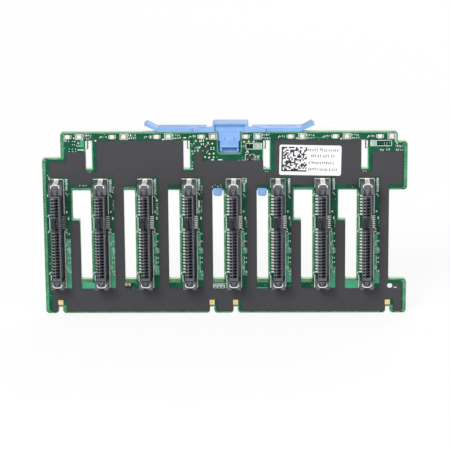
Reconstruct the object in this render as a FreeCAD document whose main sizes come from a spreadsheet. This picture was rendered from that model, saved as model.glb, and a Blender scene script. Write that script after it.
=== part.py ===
import FreeCAD, Part
import math
import os
import Sketcher
from FreeCAD import Vector

doc = FreeCAD.newDocument("drive_backplane")
sheet = doc.addObject("Spreadsheet::Sheet", "Sizes")

# Driving sizes in millimetres. X runs along the board, Z up it, and the drive side faces -Y.
# Z is counted from the bottom edge of the board and X from the middle of its width.
# A name that ends in down is counted from the top edge, one that ends in in from a side edge,
# and one that ends in before from the mating slot of the next bay.
table = {
    # bare board
    "board_thick": 2.4,
    "left_margin": 5.9,
    "right_margin": 8.44,
    "side_gap_wide": 7.2,
    "upper_height": 23.95,
    "corner_radius": 1.4,
    "inner_cut": 0.4,
    "left_step_in": 7.5,
    "left_step_down": 10.6,
    "right_step_in": 4.0,
    "right_step_down": 4.1,
    # drive bays: the mating slots stand one bay pitch apart
    "bay_pitch": 17.78,
    # air slots between the bays
    "air_left": 8.8,
    "air_width": 4.5,
    "air_low": 14.4,
    "air_high": 51.65,
    "air_cut": 0.3,
    "foot_width": 2.9,
    "foot_tall": 12.25,
    # keyhole slots that the chassis hooks pass through
    "hook_1_before": 4.9,
    "hook_2_before": 1.33,
    "hook_3_before": 5.05,
    "hook_4_before": 1.48,
    "hook_width": 2.5,
    "hook_above": 4.5,
    "hook_shoulder_down": 6.9,
    "hook_high_down": 3.6,
    "hook_neck": 1.4,
    # locating notches in the bottom edge
    "notch_1_after": 0.12,
    "notch_2_after": 8.25,
    "notch_3_after": 0.03,
    "notch_4_after": 8.16,
    "notch_width": 1.7,
    "notch_height": 2.65,
    "notch_mouth": 1.3,
    # recess in the top edge for the latch
    "recess_before": 2.02,
    "recess_width": 9.0,
    "recess_deep": 8.8,
    "recess_radius": 1.4,
    # insulating film on the drive side
    "film_thick": 0.2,
    "film_left_in": 3.0,
    "film_right_in": 1.85,
    "film_low": 0.7,
    "film_top_down": 3.5,
    "film_shelf_down": 8.2,
    "film_shelf_in": 9.7,
    "film_left_down": 12.3,
    "film_recess_gap": 2.95,
    "film_ledge_gap": 6.2,
    "film_hook_gap": 1.2,
    "film_hook_clear": 2.0,
    "film_setback": 0.1,
    "film_band_gap": 2.2,
    "film_tab_gap": 1.9,
    "film_foot_gap": 1.1,
    "film_radius": 0.8,
    "window_left": 3.75,
    "window_right": 4.85,
    "window_above": 0.95,
    "window_cut": 0.4,
    "window_below": 1.5,
    "pad_window_gap": 0.3,
    "notch_clear": 2.5,
    # paper label
    "label_width": 24.7,
    "label_height": 12.4,
    "label_thick": 0.1,
    "label_before": 5.33,
    "label_above": 1.8,
    "label_round": 0.8,
    "label_turn": 1.2,
    # drive connector, measured from the middle of its mating slot
    "plug_low": 11.9,
    "low_margin": 5.55,
    "top_margin": 6.7,
    "plug_tall": 7.3,
    "end_left": 3.1,
    "end_right": 2.3,
    "top_end_length": 4.3,
    "low_end_length": 3.3,
    "wall_left": 2.2,
    "wall_right": 1.3,
    "wall_beyond": 1.82,
    "ledge_right": 1.55,
    "ledge_tall": 2.0,
    "mate_width": 1.7,
    "mate_below": 0.7,
    "mate_above": 1.25,
    "mate_deep": 5.6,
    "key_margin": 0.55,
    "key_deep": 2.6,
    "window_size": 0.62,
    "window_out": 1.55,
    "window_deep": 1.8,
    "guide_width": 2.7,
    "guide_tip": 0.7,
    "guide_deep": 1.4,
    "guide_rim": 1.7,
    "guide_reach": 0.2,
    # contacts of the drive connector
    "contact_pitch": 1.27,
    "tail_width": 0.6,
    "tail_out": 3.25,
    "tail_thick": 0.25,
    "tail_rise": 0.8,
    "fine_pitch": 0.8,
    "fine_start": 8.4,
    "fine_width": 0.4,
    "fine_out": 2.95,
    # hold-down clips in both ends of the drive connector
    "clip_thick": 0.3,
    "clip_width": 1.9,
    "clip_spread": 3.7,
    "clip_arm": 1.5,
    "clip_shoulder": 0.6,
    "clip_notch": 0.9,
    "clip_notch_gap": 0.15,
    "clip_stand": 0.1,
    # release latch, one flexible moulding
    "latch_back": 3.6,
    "latch_front": 0.8,
    "latch_gap": 0.2,
    "panel_set": 0.3,
    "arm_tall": 1.55,
    "arm_reach": 33.9,
    "arm_bend": 28.2,
    "arm_crown": 28.9,
    "arm_rise": 2.7,
    "arm_tip_in": 1.2,
    "arm_tip_up": 0.9,
    "arm_round": 2.0,
    "root_reach": 14.5,
    "neck_reach": 9.1,
    "neck_deep": 3.7,
    "slit_reach": 12.3,
    "slit_width": 1.0,
    "slit_front": 1.3,
    "slit_web": 0.3,
    "block_tall": 3.6,
    "block_left": 6.65,
    "block_right": 7.55,
    "block_round": 0.9,
    "block_rim_left": 0.7,
    "block_rim_right": 1.3,
    "scoop_rim": 0.5,
    "scoop_deep": 1.9,
    "tongue_width": 7.4,
    "tongue_down": 3.7,
    "lip_high_down": 5.2,
    "lip_low_down": 6.1,
    "lip_out": 1.2,
    "tongue_back": 0.3,
    "tongue_toe": 0.5,
    "rail_width": 0.7,
    "rail_out": 0.2,
    "rail_slope": 0.8,
    "spine_width": 13.0,
    "yoke_up": 1.85,
    "yoke_tall": 6.5,
    "leg_width": 3.6,
    "leg_inset": 0.35,
    "leg_hang": 2.25,
    "leg_cut": 0.7,
    "leg_lip_up": 0.95,
    "leg_lip_thick": 0.9,
    "relief_deep": 1.6,
    "relief_rim": 1.2,
    # small parts on the drive side
    "ground_pad": 2.05,
    "ground_pad_gap": 0.8,
    "pad_thick": 0.08,
    "lamp_down": 1.9,
    "lamp_near": 4.57,
    "lamp_far": 9.24,
    "lamp_width": 2.4,
    "lamp_tall": 1.7,
    "lamp_base": 0.5,
    "lamp_lens": 0.35,
    "lamp_rim": 0.08,
    "lamp_slope": 0.23,
    "column_gap": 1.15,
    "chip_long": 1.0,
    "chip_wide": 0.55,
    "chip_tall": 0.35,
    "rear_chip_long": 1.6,
    "rear_chip_wide": 0.8,
    "transistor_wide": 2.4,
    "transistor_tall": 1.3,
    "transistor_thick": 0.95,
    "transistor_pitch": 0.95,
    "transistor_lead": 0.45,
    "transistor_left_gap": 5.0,
    "transistor_left_down": 6.7,
    "transistor_right_gap": 3.7,
    "transistor_right_down": 10.3,
    # cable side
    "socket_a_before": 3.46,
    "socket_b_before": 3.58,
    "socket_down": 7.0,
    "socket_width": 23.0,
    "socket_tall": 8.4,
    "socket_deep": 11.0,
    "socket_wall": 0.35,
    "socket_slack": 0.3,
    "core_set": 1.0,
    "core_slot_long": 16.8,
    "core_slot_tall": 1.7,
    "core_slot_deep": 6.5,
    "catch_width": 3.2,
    "catch_start": 6.05,
    "catch_deep": 2.75,
    "socket_pitch": 0.8,
    "tab_long": 0.8,
    "tab_wide": 0.32,
    "header_wall": 0.6,
    "header_floor": 1.6,
    "header_pin": 0.7,
    "pin_set": 1.5,
    "power_before": 3.46,
    "power_down": 18.0,
    "power_pitch": 4.2,
    "power_well": 3.5,
    "power_deep": 12.0,
    "ramp_start": 7.2,
    "ramp_thick": 1.2,
    "ramp_width": 4.0,
    "ramp_out": 0.9,
    "signal_before": 4.58,
    "signal_down": 18.0,
    "signal_pitch": 2.0,
    "signal_well": 1.5,
    "signal_deep": 6.0,
    "lead_reach": 0.9,
    "lead_tall": 0.5,
    "chip_lift": 0.15,
    "controller_in": 9.7,
    "controller_side": 10.0,
    "controller_thick": 1.2,
    "small_chip_in": 7.4,
    "small_chip_wide": 4.9,
    "small_chip_tall": 3.9,
    "small_chip_thick": 1.5,
    "chips_down": 17.2,
    "regulator_down": 9.2,
    "coil_before": 10.86,
    "coil_down": 18.4,
    "coil_side": 6.0,
    "coil_cut": 0.9,
    "coil_tall": 3.0,
    "can_foot": 5.3,
    "can_base": 0.8,
    "can_across": 5.0,
    "can_tall": 5.4,
    "can_down": 17.6,
    "can_high_down": 12.6,
    "can_left_before": 0.68,
    "can_right_before": 5.36,
}

for row, name in enumerate(table, start=1):
    sheet.set("A%d" % row, name)
    sheet.set("B%d" % row, str(table[name]))
    sheet.setAlias("B%d" % row, name)
doc.recompute()


def size(name):
    return float(sheet.get(name))


front = size("board_thick") / 2
top_edge = size("air_high") + size("upper_height")
width = size("left_margin") + 7 * size("bay_pitch") + size("right_margin") + size("side_gap_wide")
left_edge = -width / 2
right_edge = width / 2
bays = [left_edge + size("left_margin") + k * size("bay_pitch") for k in range(8)]
side_gap = bays[7] + size("right_margin")
footed_slots = [0, 5, 6]
hooks = [bays[2 * i + 1] - size("hook_%d_before" % (i + 1)) for i in range(4)]
notches = [bays[k] + size("notch_%d_after" % (i + 1)) for i, k in enumerate((0, 3, 4, 7))]
latch_x = bays[4] - size("recess_before")
recess_left = latch_x - size("recess_width") / 2
recess_right = latch_x + size("recess_width") / 2


def from_top(name):
    return top_edge - size(name)


def plane_of(body, role):
    for item in body.Origin.OriginFeatures:
        if item.Role == role:
            return item
    raise ValueError(role)


def new_body(label):
    body = doc.addObject("PartDesign::Body", label)
    body.Label = label
    return body


# A sketch stands off its plane by an offset that the sheet drives.
def new_sketch(body, name, role="XZ_Plane", offset="0"):
    sketch = body.newObject("Sketcher::SketchObject", name)
    sketch.AttachmentSupport = [(plane_of(body, role), "")]
    sketch.MapMode = "FlatFace"
    sketch.setExpression("AttachmentOffset.Base.z", offset)
    return sketch


# Closed outline whose corners are (across, up) or (across, up, radius). A negative radius cuts the
# corner straight instead of rounding it.
def add_outline(sketch, corners):
    count = len(corners)
    starts = []
    ends = []
    for i in range(count):
        here = Vector(corners[i][0], corners[i][1], 0)
        before = Vector(corners[i - 1][0], corners[i - 1][1], 0)
        after = Vector(corners[(i + 1) % count][0], corners[(i + 1) % count][1], 0)
        radius = corners[i][2] if len(corners[i]) > 2 else 0
        if radius == 0:
            starts.append(here)
            ends.append(here)
            continue
        back = (before - here).normalize()
        ahead = (after - here).normalize()
        if radius < 0:
            starts.append(here - back * radius)
            ends.append(here - ahead * radius)
            sketch.addGeometry(Part.LineSegment(starts[-1], ends[-1]), False)
            continue
        half = back.getAngle(ahead) / 2
        first = here + back * (radius / math.tan(half))
        last = here + ahead * (radius / math.tan(half))
        inward = (back + ahead).normalize()
        crown = here + inward * (radius / math.sin(half) - radius)
        sketch.addGeometry(Part.Arc(first, crown, last), False)
        starts.append(first)
        ends.append(last)
    for i in range(count):
        following = starts[(i + 1) % count]
        if (following - ends[i]).Length > 1e-6:
            sketch.addGeometry(Part.LineSegment(ends[i], following), False)


# Rectangle whose width and height are constraints bound to the sheet.
def add_rectangle(sketch, left, low, width, tall, width_rule=None, tall_rule=None):
    first = sketch.GeometryCount
    points = [
        Vector(left, low, 0),
        Vector(left + width, low, 0),
        Vector(left + width, low + tall, 0),
        Vector(left, low + tall, 0),
    ]
    for i in range(4):
        sketch.addGeometry(Part.LineSegment(points[i], points[(i + 1) % 4]), False)
    for i in range(4):
        sketch.addConstraint(Sketcher.Constraint("Coincident", first + i, 2, first + (i + 1) % 4, 1))
    sketch.addConstraint(Sketcher.Constraint("Horizontal", first))
    sketch.addConstraint(Sketcher.Constraint("Horizontal", first + 2))
    sketch.addConstraint(Sketcher.Constraint("Vertical", first + 1))
    sketch.addConstraint(Sketcher.Constraint("Vertical", first + 3))
    if width_rule:
        spot = sketch.addConstraint(Sketcher.Constraint("DistanceX", first, 1, first, 2, width))
        sketch.setExpression("Constraints[%d]" % spot, width_rule)
    if tall_rule:
        spot = sketch.addConstraint(Sketcher.Constraint("DistanceY", first + 1, 1, first + 1, 2, tall))
        sketch.setExpression("Constraints[%d]" % spot, tall_rule)


def add_pad(body, name, sketch, rule, reverse=False):
    pad = body.newObject("PartDesign::Pad", name)
    pad.Profile = sketch
    pad.setExpression("Length", rule)
    pad.Reversed = reverse
    sketch.Visibility = False
    return pad


def add_pocket(body, name, sketch, rule):
    pocket = body.newObject("PartDesign::Pocket", name)
    pocket.Profile = sketch
    pocket.setExpression("Length", rule)
    sketch.Visibility = False
    return pocket


# Copies of a finished body, one bay pitch apart, as the bays repeat.
def repeat_over_bays(master, stem):
    for k in range(1, 8):
        twin = new_body("%s_%d" % (stem, k + 1))
        base = twin.newObject("PartDesign::FeatureBase", "Repeat")
        base.BaseFeature = master
        twin.Tip = base
        twin.setExpression("Placement.Base.x", "Sizes.bay_pitch * %d" % k)


# Separate solids that share one name, such as all parts of one kind.
def group(label, solids):
    feature = doc.addObject("Part::Feature", label)
    feature.Label = label
    feature.Shape = Part.makeCompound(solids)
    return feature


def block(left, right, near, far, low, high):
    return Part.makeBox(right - left, far - near, high - low, Vector(left, near, low))


# bare board
def board_outline():
    high = top_edge
    round_by = size("corner_radius")
    inner_by = -size("inner_cut")
    left = left_edge
    right = right_edge
    step_left = left + size("left_step_in")
    step_right = right - size("right_step_in")
    corners = [
        (left, 0, round_by),
        (left, from_top("left_step_down"), round_by),
        (step_left, from_top("left_step_down"), inner_by),
        (step_left, high, round_by),
        (recess_left, high, inner_by),
        (recess_left, from_top("recess_deep"), size("recess_radius")),
        (recess_right, from_top("recess_deep"), size("recess_radius")),
        (recess_right, high, inner_by),
        (step_right, high, round_by),
        (step_right, from_top("right_step_down"), inner_by),
        (right, from_top("right_step_down"), round_by),
        (right, size("air_high"), round_by),
        (side_gap, size("air_high"), -size("air_cut")),
        (side_gap, size("air_low"), -size("air_cut")),
        (right, size("air_low"), round_by),
        (right, 0, round_by),
    ]
    half = size("notch_width") / 2
    for middle in reversed(notches):
        corners.append((middle + half, 0, size("notch_mouth")))
        corners.append((middle + half, size("notch_height")))
        corners.append((middle - half, size("notch_height")))
        corners.append((middle - half, 0, size("notch_mouth")))
    return corners


def air_slot(k):
    right = bays[k] + size("air_left") + size("air_width")
    left = bays[k] + size("air_left")
    low = size("air_low")
    high = size("air_high")
    round_by = -size("air_cut")
    corners = [(left, low, round_by), (right, low, round_by), (right, high, round_by)]
    if k in footed_slots:
        foot = left - size("foot_width")
        corners.append((foot, high, round_by))
        corners.append((foot, high - size("foot_tall"), round_by))
        corners.append((left, high - size("foot_tall"), round_by))
    else:
        corners.append((left, high, round_by))
    return corners


board = new_body("board")
outline = new_sketch(board, "board_outline", offset="-Sizes.board_thick / 2")
add_outline(outline, board_outline())
add_pad(board, "board_plate", outline, "Sizes.board_thick")

air_sketch = new_sketch(board, "air_slots", offset="Sizes.board_thick / 2")
for k in range(7):
    add_outline(air_sketch, air_slot(k))
add_pocket(board, "air_openings", air_sketch, "Sizes.board_thick")

hook_sketch = new_sketch(board, "hook_slots", offset="Sizes.board_thick / 2")
plug_high = size("plug_low") + size("low_margin") + 25 * size("contact_pitch") + size("top_margin")
hook_low = plug_high + size("hook_above")
hook_shoulder = from_top("hook_shoulder_down")
hook_high = from_top("hook_high_down")
hook_half = size("hook_width") / 2
step_sides = [-1, 1, -1, 1]
for middle, step_side in zip(hooks, step_sides):
    step = middle + step_side * hook_half
    flush = middle - step_side * hook_half
    neck = flush + step_side * size("hook_neck")
    add_outline(hook_sketch, [
        (step, hook_low),
        (flush, hook_low),
        (flush, hook_high),
        (neck, hook_high),
        (neck, hook_shoulder),
        (step, hook_shoulder),
    ])
add_pocket(board, "hook_openings", hook_sketch, "Sizes.board_thick")


# insulating film on the drive side, cut clear of connectors, slots and pads
setback = size("film_setback")
film_band = size("air_high") + size("film_band_gap")


def film_outline():
    left = left_edge + size("film_left_in")
    right = right_edge - size("film_right_in")
    gap = side_gap - setback
    round_by = size("film_radius")
    shelf = from_top("film_shelf_down")
    shelf_left = left_edge + size("film_shelf_in")
    under_recess = from_top("recess_deep") - size("film_recess_gap")
    under_hook = hook_low - size("film_hook_gap")
    corners = [
        (left, size("film_low"), round_by),
        (left, from_top("film_left_down"), round_by),
        (shelf_left, from_top("film_left_down")),
        (shelf_left, shelf, round_by),
    ]
    film_top = from_top("film_top_down")
    tops = [shelf, film_top, under_recess, film_top]
    for k, middle in enumerate(hooks):
        after = middle + hook_half + size("film_hook_clear")
        corners.append((middle - hook_half - setback, tops[k]))
        corners.append((middle - hook_half - setback, under_hook))
        corners.append((after, under_hook))
        if k == 1:
            ledge = recess_left - size("film_ledge_gap")
            corners.append((after, shelf, round_by))
            corners.append((ledge, shelf, round_by))
            corners.append((ledge, under_recess))
        elif k == 3:
            corners.append((after, shelf, round_by))
        else:
            corners.append((after, film_top, round_by))
    corners.append((right, shelf, round_by))
    corners.append((right, film_band, round_by))
    corners.append((gap, film_band))
    corners.append((gap, size("air_low") - size("film_tab_gap")))
    corners.append((right, size("air_low") - size("film_tab_gap"), round_by))
    corners.append((right, size("film_low"), round_by))
    return corners


film = new_body("insulator_film")
film_sketch = new_sketch(film, "film_outline", offset="Sizes.board_thick / 2")
add_outline(film_sketch, film_outline())
add_pad(film, "film_sheet", film_sketch, "Sizes.film_thick")


# Each connector window runs over the air slot before it, where the film has a straight side.
def film_window(k):
    left = bays[k] - size("window_left")
    right = bays[k] + size("window_right")
    low = size("plug_low") - size("window_below")
    high = plug_high + size("window_above")
    round_by = -size("window_cut")
    if k == 0:
        start = left_edge - setback
        corners = [(start, low), (right, low, round_by)]
    else:
        start = bays[k - 1] + size("air_left") - setback
        corners = [(start, low, round_by), (right, low, round_by)]
    if k in footed_slots:
        foot = bays[k] + size("air_left") - setback
        foot_low = size("air_high") - size("foot_tall") - size("film_foot_gap")
        corners.append((right, foot_low))
        corners.append((foot, foot_low))
        corners.append((foot, film_band))
        corners.append((right, film_band))
    corners.append((right, high, round_by))
    if k == 0:
        corners.append((start, high))
        return corners
    corners.append((left, high, round_by))
    corners.append((left, film_band))
    corners.append((start, film_band))
    return corners


film_face = "Sizes.board_thick / 2 + Sizes.film_thick"
for k in range(8):
    window_sketch = new_sketch(film, "film_window_%d" % (k + 1), offset=film_face)
    add_outline(window_sketch, film_window(k))
    add_pocket(film, "film_opening_%d" % (k + 1), window_sketch, "Sizes.film_thick")

notch_sketch = new_sketch(film, "film_notches", offset=film_face)
pad_low = size("notch_height") + size("ground_pad_gap")
pad_gap = size("pad_window_gap")
for middle in notches:
    side = middle - size("notch_width") / 2
    add_outline(notch_sketch, [
        (side - setback, -1),
        (middle + size("notch_clear"), -1),
        (middle + size("notch_clear"), pad_low + size("ground_pad") + pad_gap),
        (side - pad_gap, pad_low + size("ground_pad") + pad_gap),
        (side - pad_gap, pad_low - setback),
        (side - setback, pad_low - setback),
    ])
add_pocket(film, "film_pad_openings", notch_sketch, "Sizes.film_thick")


# paper label on the film
label = new_body("label")
label_sketch = new_sketch(label, "label_outline")
label_round = size("label_round")
add_outline(label_sketch, [
    (x * size("label_width") / 2, z * size("label_height") / 2, label_round)
    for x, z in ((-1, -1), (1, -1), (1, 1), (-1, 1))
])
add_pad(label, "label_sheet", label_sketch, "Sizes.label_thick")
label.setExpression(
    "Placement.Base.x",
    "(Sizes.left_margin - Sizes.right_margin - Sizes.side_gap_wide - 7 * Sizes.bay_pitch) / 2"
    " + 6 * Sizes.bay_pitch - Sizes.label_before",
)
label.setExpression("Placement.Base.y", "-(Sizes.board_thick / 2 + Sizes.film_thick)")
label.setExpression(
    "Placement.Base.z",
    "Sizes.plug_low + Sizes.low_margin + 25 * Sizes.contact_pitch + Sizes.top_margin"
    " + Sizes.label_above + Sizes.label_height / 2",
)
label.Placement.Rotation = FreeCAD.Rotation(Vector(0, 1, 0), size("label_turn"))


# Plan of one hold-down clip: a flat back at the end wall that arches out into two arms.
def clip_plan(outer, inward):
    middle = bays[0] + (size("end_right") - size("end_left")) / 2
    back = size("clip_width") / 2
    tip = size("clip_spread") / 2
    deep = size("clip_thick")
    end = outer + inward * size("clip_arm")
    shoulder = outer + inward * size("clip_shoulder")
    under = shoulder + inward * deep / 2
    return [
        (middle - back, outer),
        (middle + back, outer),
        (middle + tip, shoulder),
        (middle + tip, end),
        (middle + tip - deep, end),
        (middle + tip - deep, under),
        (middle + back - deep / 2, outer + inward * deep),
        (middle - back + deep / 2, outer + inward * deep),
        (middle - tip + deep, under),
        (middle - tip + deep, end),
        (middle - tip, end),
        (middle - tip, shoulder),
    ]


# drive connector of the first bay, repeated over the others
mate = bays[0]
plug_low = size("plug_low")
contact_top = plug_high - size("top_margin")
power_top = contact_top - 11 * size("contact_pitch")
fine_top = contact_top - size("fine_start")
contact_low = plug_low + size("low_margin")
wall_low = contact_low - size("wall_beyond")
mate_low = contact_low - size("mate_below")
plug_length = plug_high - plug_low
wall_length = contact_top - contact_low + 2 * size("wall_beyond")
mate_length = contact_top - contact_low + size("mate_below") + size("mate_above")
signal_rows = [contact_top - i * size("contact_pitch") for i in range(7)]
power_rows = [power_top - i * size("contact_pitch") for i in range(15)]
fine_rows = [fine_top - i * size("fine_pitch") for i in range(7)]
seat = "Sizes.board_thick / 2"
mouth = "Sizes.board_thick / 2 + Sizes.plug_tall"

housing = new_body("drive_connector_1")
foot_sketch = new_sketch(housing, "connector_ledge", offset=seat)
add_rectangle(
    foot_sketch, mate - size("wall_left"), plug_low,
    size("wall_left") + size("ledge_right"), plug_length,
    "Sizes.wall_left + Sizes.ledge_right", "Sizes.low_margin + 25 * Sizes.contact_pitch + Sizes.top_margin",
)
add_pad(housing, "ledge", foot_sketch, "Sizes.ledge_tall")

wall_sketch = new_sketch(housing, "connector_wall", offset=seat)
add_rectangle(
    wall_sketch, mate - size("wall_left"), wall_low,
    size("wall_left") + size("wall_right"), wall_length,
    "Sizes.wall_left + Sizes.wall_right", "25 * Sizes.contact_pitch + 2 * Sizes.wall_beyond",
)
add_pad(housing, "wall", wall_sketch, "Sizes.plug_tall")

end_sketch = new_sketch(housing, "connector_ends", offset=seat)
top_end = plug_high - size("top_end_length")
low_end = plug_low + size("low_end_length")
add_outline(end_sketch, [
    (mate - size("end_left"), plug_low),
    (mate + size("end_right"), plug_low),
    (mate + size("end_right"), low_end),
    (mate - size("end_left"), low_end),
])
add_outline(end_sketch, [
    (mate - size("end_left"), top_end),
    (mate + size("end_right"), top_end),
    (mate + size("end_right"), plug_high),
    (mate - size("end_left"), plug_high),
])
add_pad(housing, "ends", end_sketch, "Sizes.plug_tall")

mate_sketch = new_sketch(housing, "mating_slot", offset=mouth)
add_rectangle(
    mate_sketch, mate - size("mate_width") / 2, mate_low,
    size("mate_width"), mate_length,
    "Sizes.mate_width", "25 * Sizes.contact_pitch + Sizes.mate_below + Sizes.mate_above",
)
add_pocket(housing, "mating_opening", mate_sketch, "Sizes.mate_deep")

key_sketch = new_sketch(housing, "key_gap", offset=mouth)
add_rectangle(
    key_sketch, mate - 2 * size("wall_left"), power_top + size("key_margin"),
    2 * size("wall_left") - size("mate_width") / 2, 5 * size("contact_pitch") - 2 * size("key_margin"),
    None, "5 * Sizes.contact_pitch - 2 * Sizes.key_margin",
)
add_pocket(housing, "key_opening", key_sketch, "Sizes.key_deep")

# one window over each contact, in the wall beside the slot
contact_sketch = new_sketch(housing, "contact_windows", offset=mouth)
for level in signal_rows + power_rows:
    add_rectangle(
        contact_sketch, mate - size("window_out") - size("window_size") / 2,
        level - size("window_size") / 2, size("window_size"), size("window_size"),
        "Sizes.window_size", "Sizes.window_size",
    )
add_pocket(housing, "contact_openings", contact_sketch, "Sizes.window_deep")

# guide pockets between the clip arms, narrowing downwards
guide_middle = mate + (size("end_right") - size("end_left")) / 2
guide_half = size("guide_width") / 2
guide_tip = size("guide_tip") / 2
low_clip = plug_low + size("clip_notch")
guide_sketch = new_sketch(housing, "guide_pockets", offset=mouth)
for low, high in (
    (top_end - size("guide_reach"), plug_high - size("guide_rim")),
    (low_clip + 2 * size("clip_thick"), low_end - size("guide_reach")),
):
    add_outline(guide_sketch, [
        (guide_middle - guide_tip, low),
        (guide_middle + guide_tip, low),
        (guide_middle + guide_half, high),
        (guide_middle - guide_half, high),
    ])
add_pocket(housing, "guide_openings", guide_sketch, "Sizes.guide_deep")

# the lower clip sits behind a notch in the end of the housing
clip_notch = new_sketch(housing, "clip_notch", offset=mouth)
notch_half = size("clip_width") / 2 + size("clip_notch_gap")
add_outline(clip_notch, [
    (guide_middle - notch_half, plug_low - 1),
    (guide_middle + notch_half, plug_low - 1),
    (guide_middle + notch_half, low_clip),
    (guide_middle - notch_half, low_clip),
])
add_pocket(housing, "clip_notch_opening", clip_notch, "Sizes.plug_tall")

clip_seat = new_sketch(housing, "clip_seats", offset=mouth)
add_outline(clip_seat, clip_plan(plug_high, -1))
add_outline(clip_seat, clip_plan(low_clip, 1))
add_pocket(housing, "clip_openings", clip_seat, "Sizes.plug_tall")
repeat_over_bays(housing, "drive_connector")

# hold-down clips: one bent strip in each end of the housing
clips = new_body("hold_down_clips_1")
clip_sketch = new_sketch(clips, "clip_strips", offset=seat)
add_outline(clip_sketch, clip_plan(plug_high, -1))
add_outline(clip_sketch, clip_plan(low_clip, 1))
add_pad(clips, "strips", clip_sketch, "Sizes.plug_tall + Sizes.clip_stand")
repeat_over_bays(clips, "hold_down_clips")

# contacts: each tail is soldered flat to the board and rises towards the housing, drawn from the side
contacts = new_body("connector_contacts_1")


def add_tails(name, side, levels, width, reach, wall, width_rule, pitch_rule):
    near = bays[0] + side * wall
    far = bays[0] + side * reach
    profile = new_sketch(contacts, name + "_side", "XY_Plane", "%r" % (levels[0] - width / 2))
    add_outline(profile, [
        (near, -front),
        (far, -front),
        (far, -front - size("tail_thick")),
        (near, -front - size("tail_rise")),
    ])
    pad = add_pad(contacts, name, profile, width_rule)
    doc.recompute()
    row = contacts.newObject("PartDesign::LinearPattern", name + "_row")
    row.Originals = [pad]
    row.Direction = (plane_of(contacts, "Z_Axis"), [""])
    row.Reversed = True
    row.setExpression("Length", "%s * %d" % (pitch_rule, len(levels) - 1))
    row.Occurrences = len(levels)
    contacts.Tip = row


add_tails("signal_tails", -1, signal_rows, size("tail_width"), size("tail_out"), size("wall_left"),
          "Sizes.tail_width", "Sizes.contact_pitch")
add_tails("power_tails", -1, power_rows, size("tail_width"), size("tail_out"), size("wall_left"),
          "Sizes.tail_width", "Sizes.contact_pitch")
add_tails("second_port_tails", 1, fine_rows, size("fine_width"), size("fine_out"), size("ledge_right"),
          "Sizes.fine_width", "Sizes.fine_pitch")
repeat_over_bays(contacts, "connector_contacts")

# release latch on the top edge, one moulding whose spine runs down behind the board
latch_gap = size("latch_gap")
latch_rear = "-(Sizes.board_thick / 2 + Sizes.latch_back)"
rear_face = front + size("latch_back")
plate_face = front + latch_gap
panel_face = -front + size("panel_set")
arm_top = top_edge + size("arm_tall")
tip_low = top_edge + size("arm_rise")
tip_high = tip_low + size("arm_tip_up")

latch = new_body("release_latch")
arm_sketch = new_sketch(latch, "arms_front", offset=latch_rear)
lower_edge = []
upper_edge = []
for side in (-1, 1):
    bend = (latch_x + side * size("arm_bend"), top_edge, size("arm_round"))
    tip = (latch_x + side * size("arm_reach"), tip_low)
    tip_end = (latch_x + side * (size("arm_reach") - size("arm_tip_in")), tip_high)
    crown = (latch_x + side * size("arm_crown"), arm_top, size("arm_round"))
    lower_edge.append([bend, tip])
    upper_edge.append([tip_end, crown])
add_outline(arm_sketch, lower_edge[0] + upper_edge[0] + upper_edge[1][::-1] + lower_edge[1][::-1])
add_pad(latch, "arms", arm_sketch, "Sizes.latch_back + Sizes.board_thick")

root_sketch = new_sketch(latch, "roots_front", offset=seat)
add_rectangle(
    root_sketch, latch_x - size("root_reach"), top_edge,
    2 * size("root_reach"), size("arm_tall"), "2 * Sizes.root_reach", "Sizes.arm_tall",
)
add_pad(latch, "roots", root_sketch, "Sizes.latch_front")

# between root and block the arm thins to a neck, with a slit beside it
thumb = -front - size("latch_front")
neck_back = thumb + size("neck_deep")
block_left = latch_x - size("block_left")
block_right = latch_x + size("block_right")
neck_level = "Sizes.air_high + Sizes.upper_height + Sizes.arm_tall"
neck_sketch = new_sketch(latch, "necks_top", "XY_Plane", neck_level)
for near, far in ((latch_x - size("neck_reach"), block_left), (block_right, latch_x + size("neck_reach"))):
    add_outline(neck_sketch, [
        (near, neck_back),
        (far, neck_back),
        (far, rear_face + 1),
        (near, rear_face + 1),
    ])
for side in (-1, 1):
    left = min(latch_x + side * size("neck_reach"), latch_x + side * size("slit_reach"))
    add_rectangle(
        neck_sketch, left, thumb + size("slit_front"),
        size("slit_reach") - size("neck_reach") - size("slit_web"), size("slit_width"),
        None, "Sizes.slit_width",
    )
add_pocket(latch, "neck_cuts", neck_sketch, "Sizes.arm_tall")

block_sketch = new_sketch(latch, "block_front", offset=latch_rear)
block_top = top_edge + size("block_tall")
add_outline(block_sketch, [
    (block_left, top_edge),
    (block_right, top_edge),
    (block_right, block_top, size("block_round")),
    (block_left, block_top, size("block_round")),
])
add_pad(latch, "block", block_sketch, "Sizes.latch_back + Sizes.board_thick + Sizes.latch_front")

# thumb scoop, drawn from the side and cut across the block between its rims
scoop_right = block_right - size("block_rim_right")
scoop_ceiling = block_top - size("scoop_rim")
scoop_sketch = new_sketch(latch, "scoop_side", "YZ_Plane", "%r" % scoop_right)
add_outline(scoop_sketch, [
    (thumb - 1, top_edge - 1),
    (panel_face, top_edge - 1),
    (thumb + size("scoop_deep"), scoop_ceiling, size("block_round")),
    (thumb - 1, scoop_ceiling),
])
add_pocket(
    latch, "scoop", scoop_sketch,
    "Sizes.block_left + Sizes.block_right - Sizes.block_rim_left - Sizes.block_rim_right",
)

# panel that fills the recess
panel_sketch = new_sketch(latch, "panel_front", offset=latch_rear)
panel_half = size("recess_width") / 2 - latch_gap
tongue_top = from_top("tongue_down")
add_outline(panel_sketch, [
    (latch_x - panel_half, tongue_top),
    (latch_x + panel_half, tongue_top),
    (latch_x + panel_half, top_edge),
    (latch_x - panel_half, top_edge),
])
add_pad(latch, "panel", panel_sketch, "Sizes.latch_back + Sizes.board_thick - Sizes.panel_set")

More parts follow.
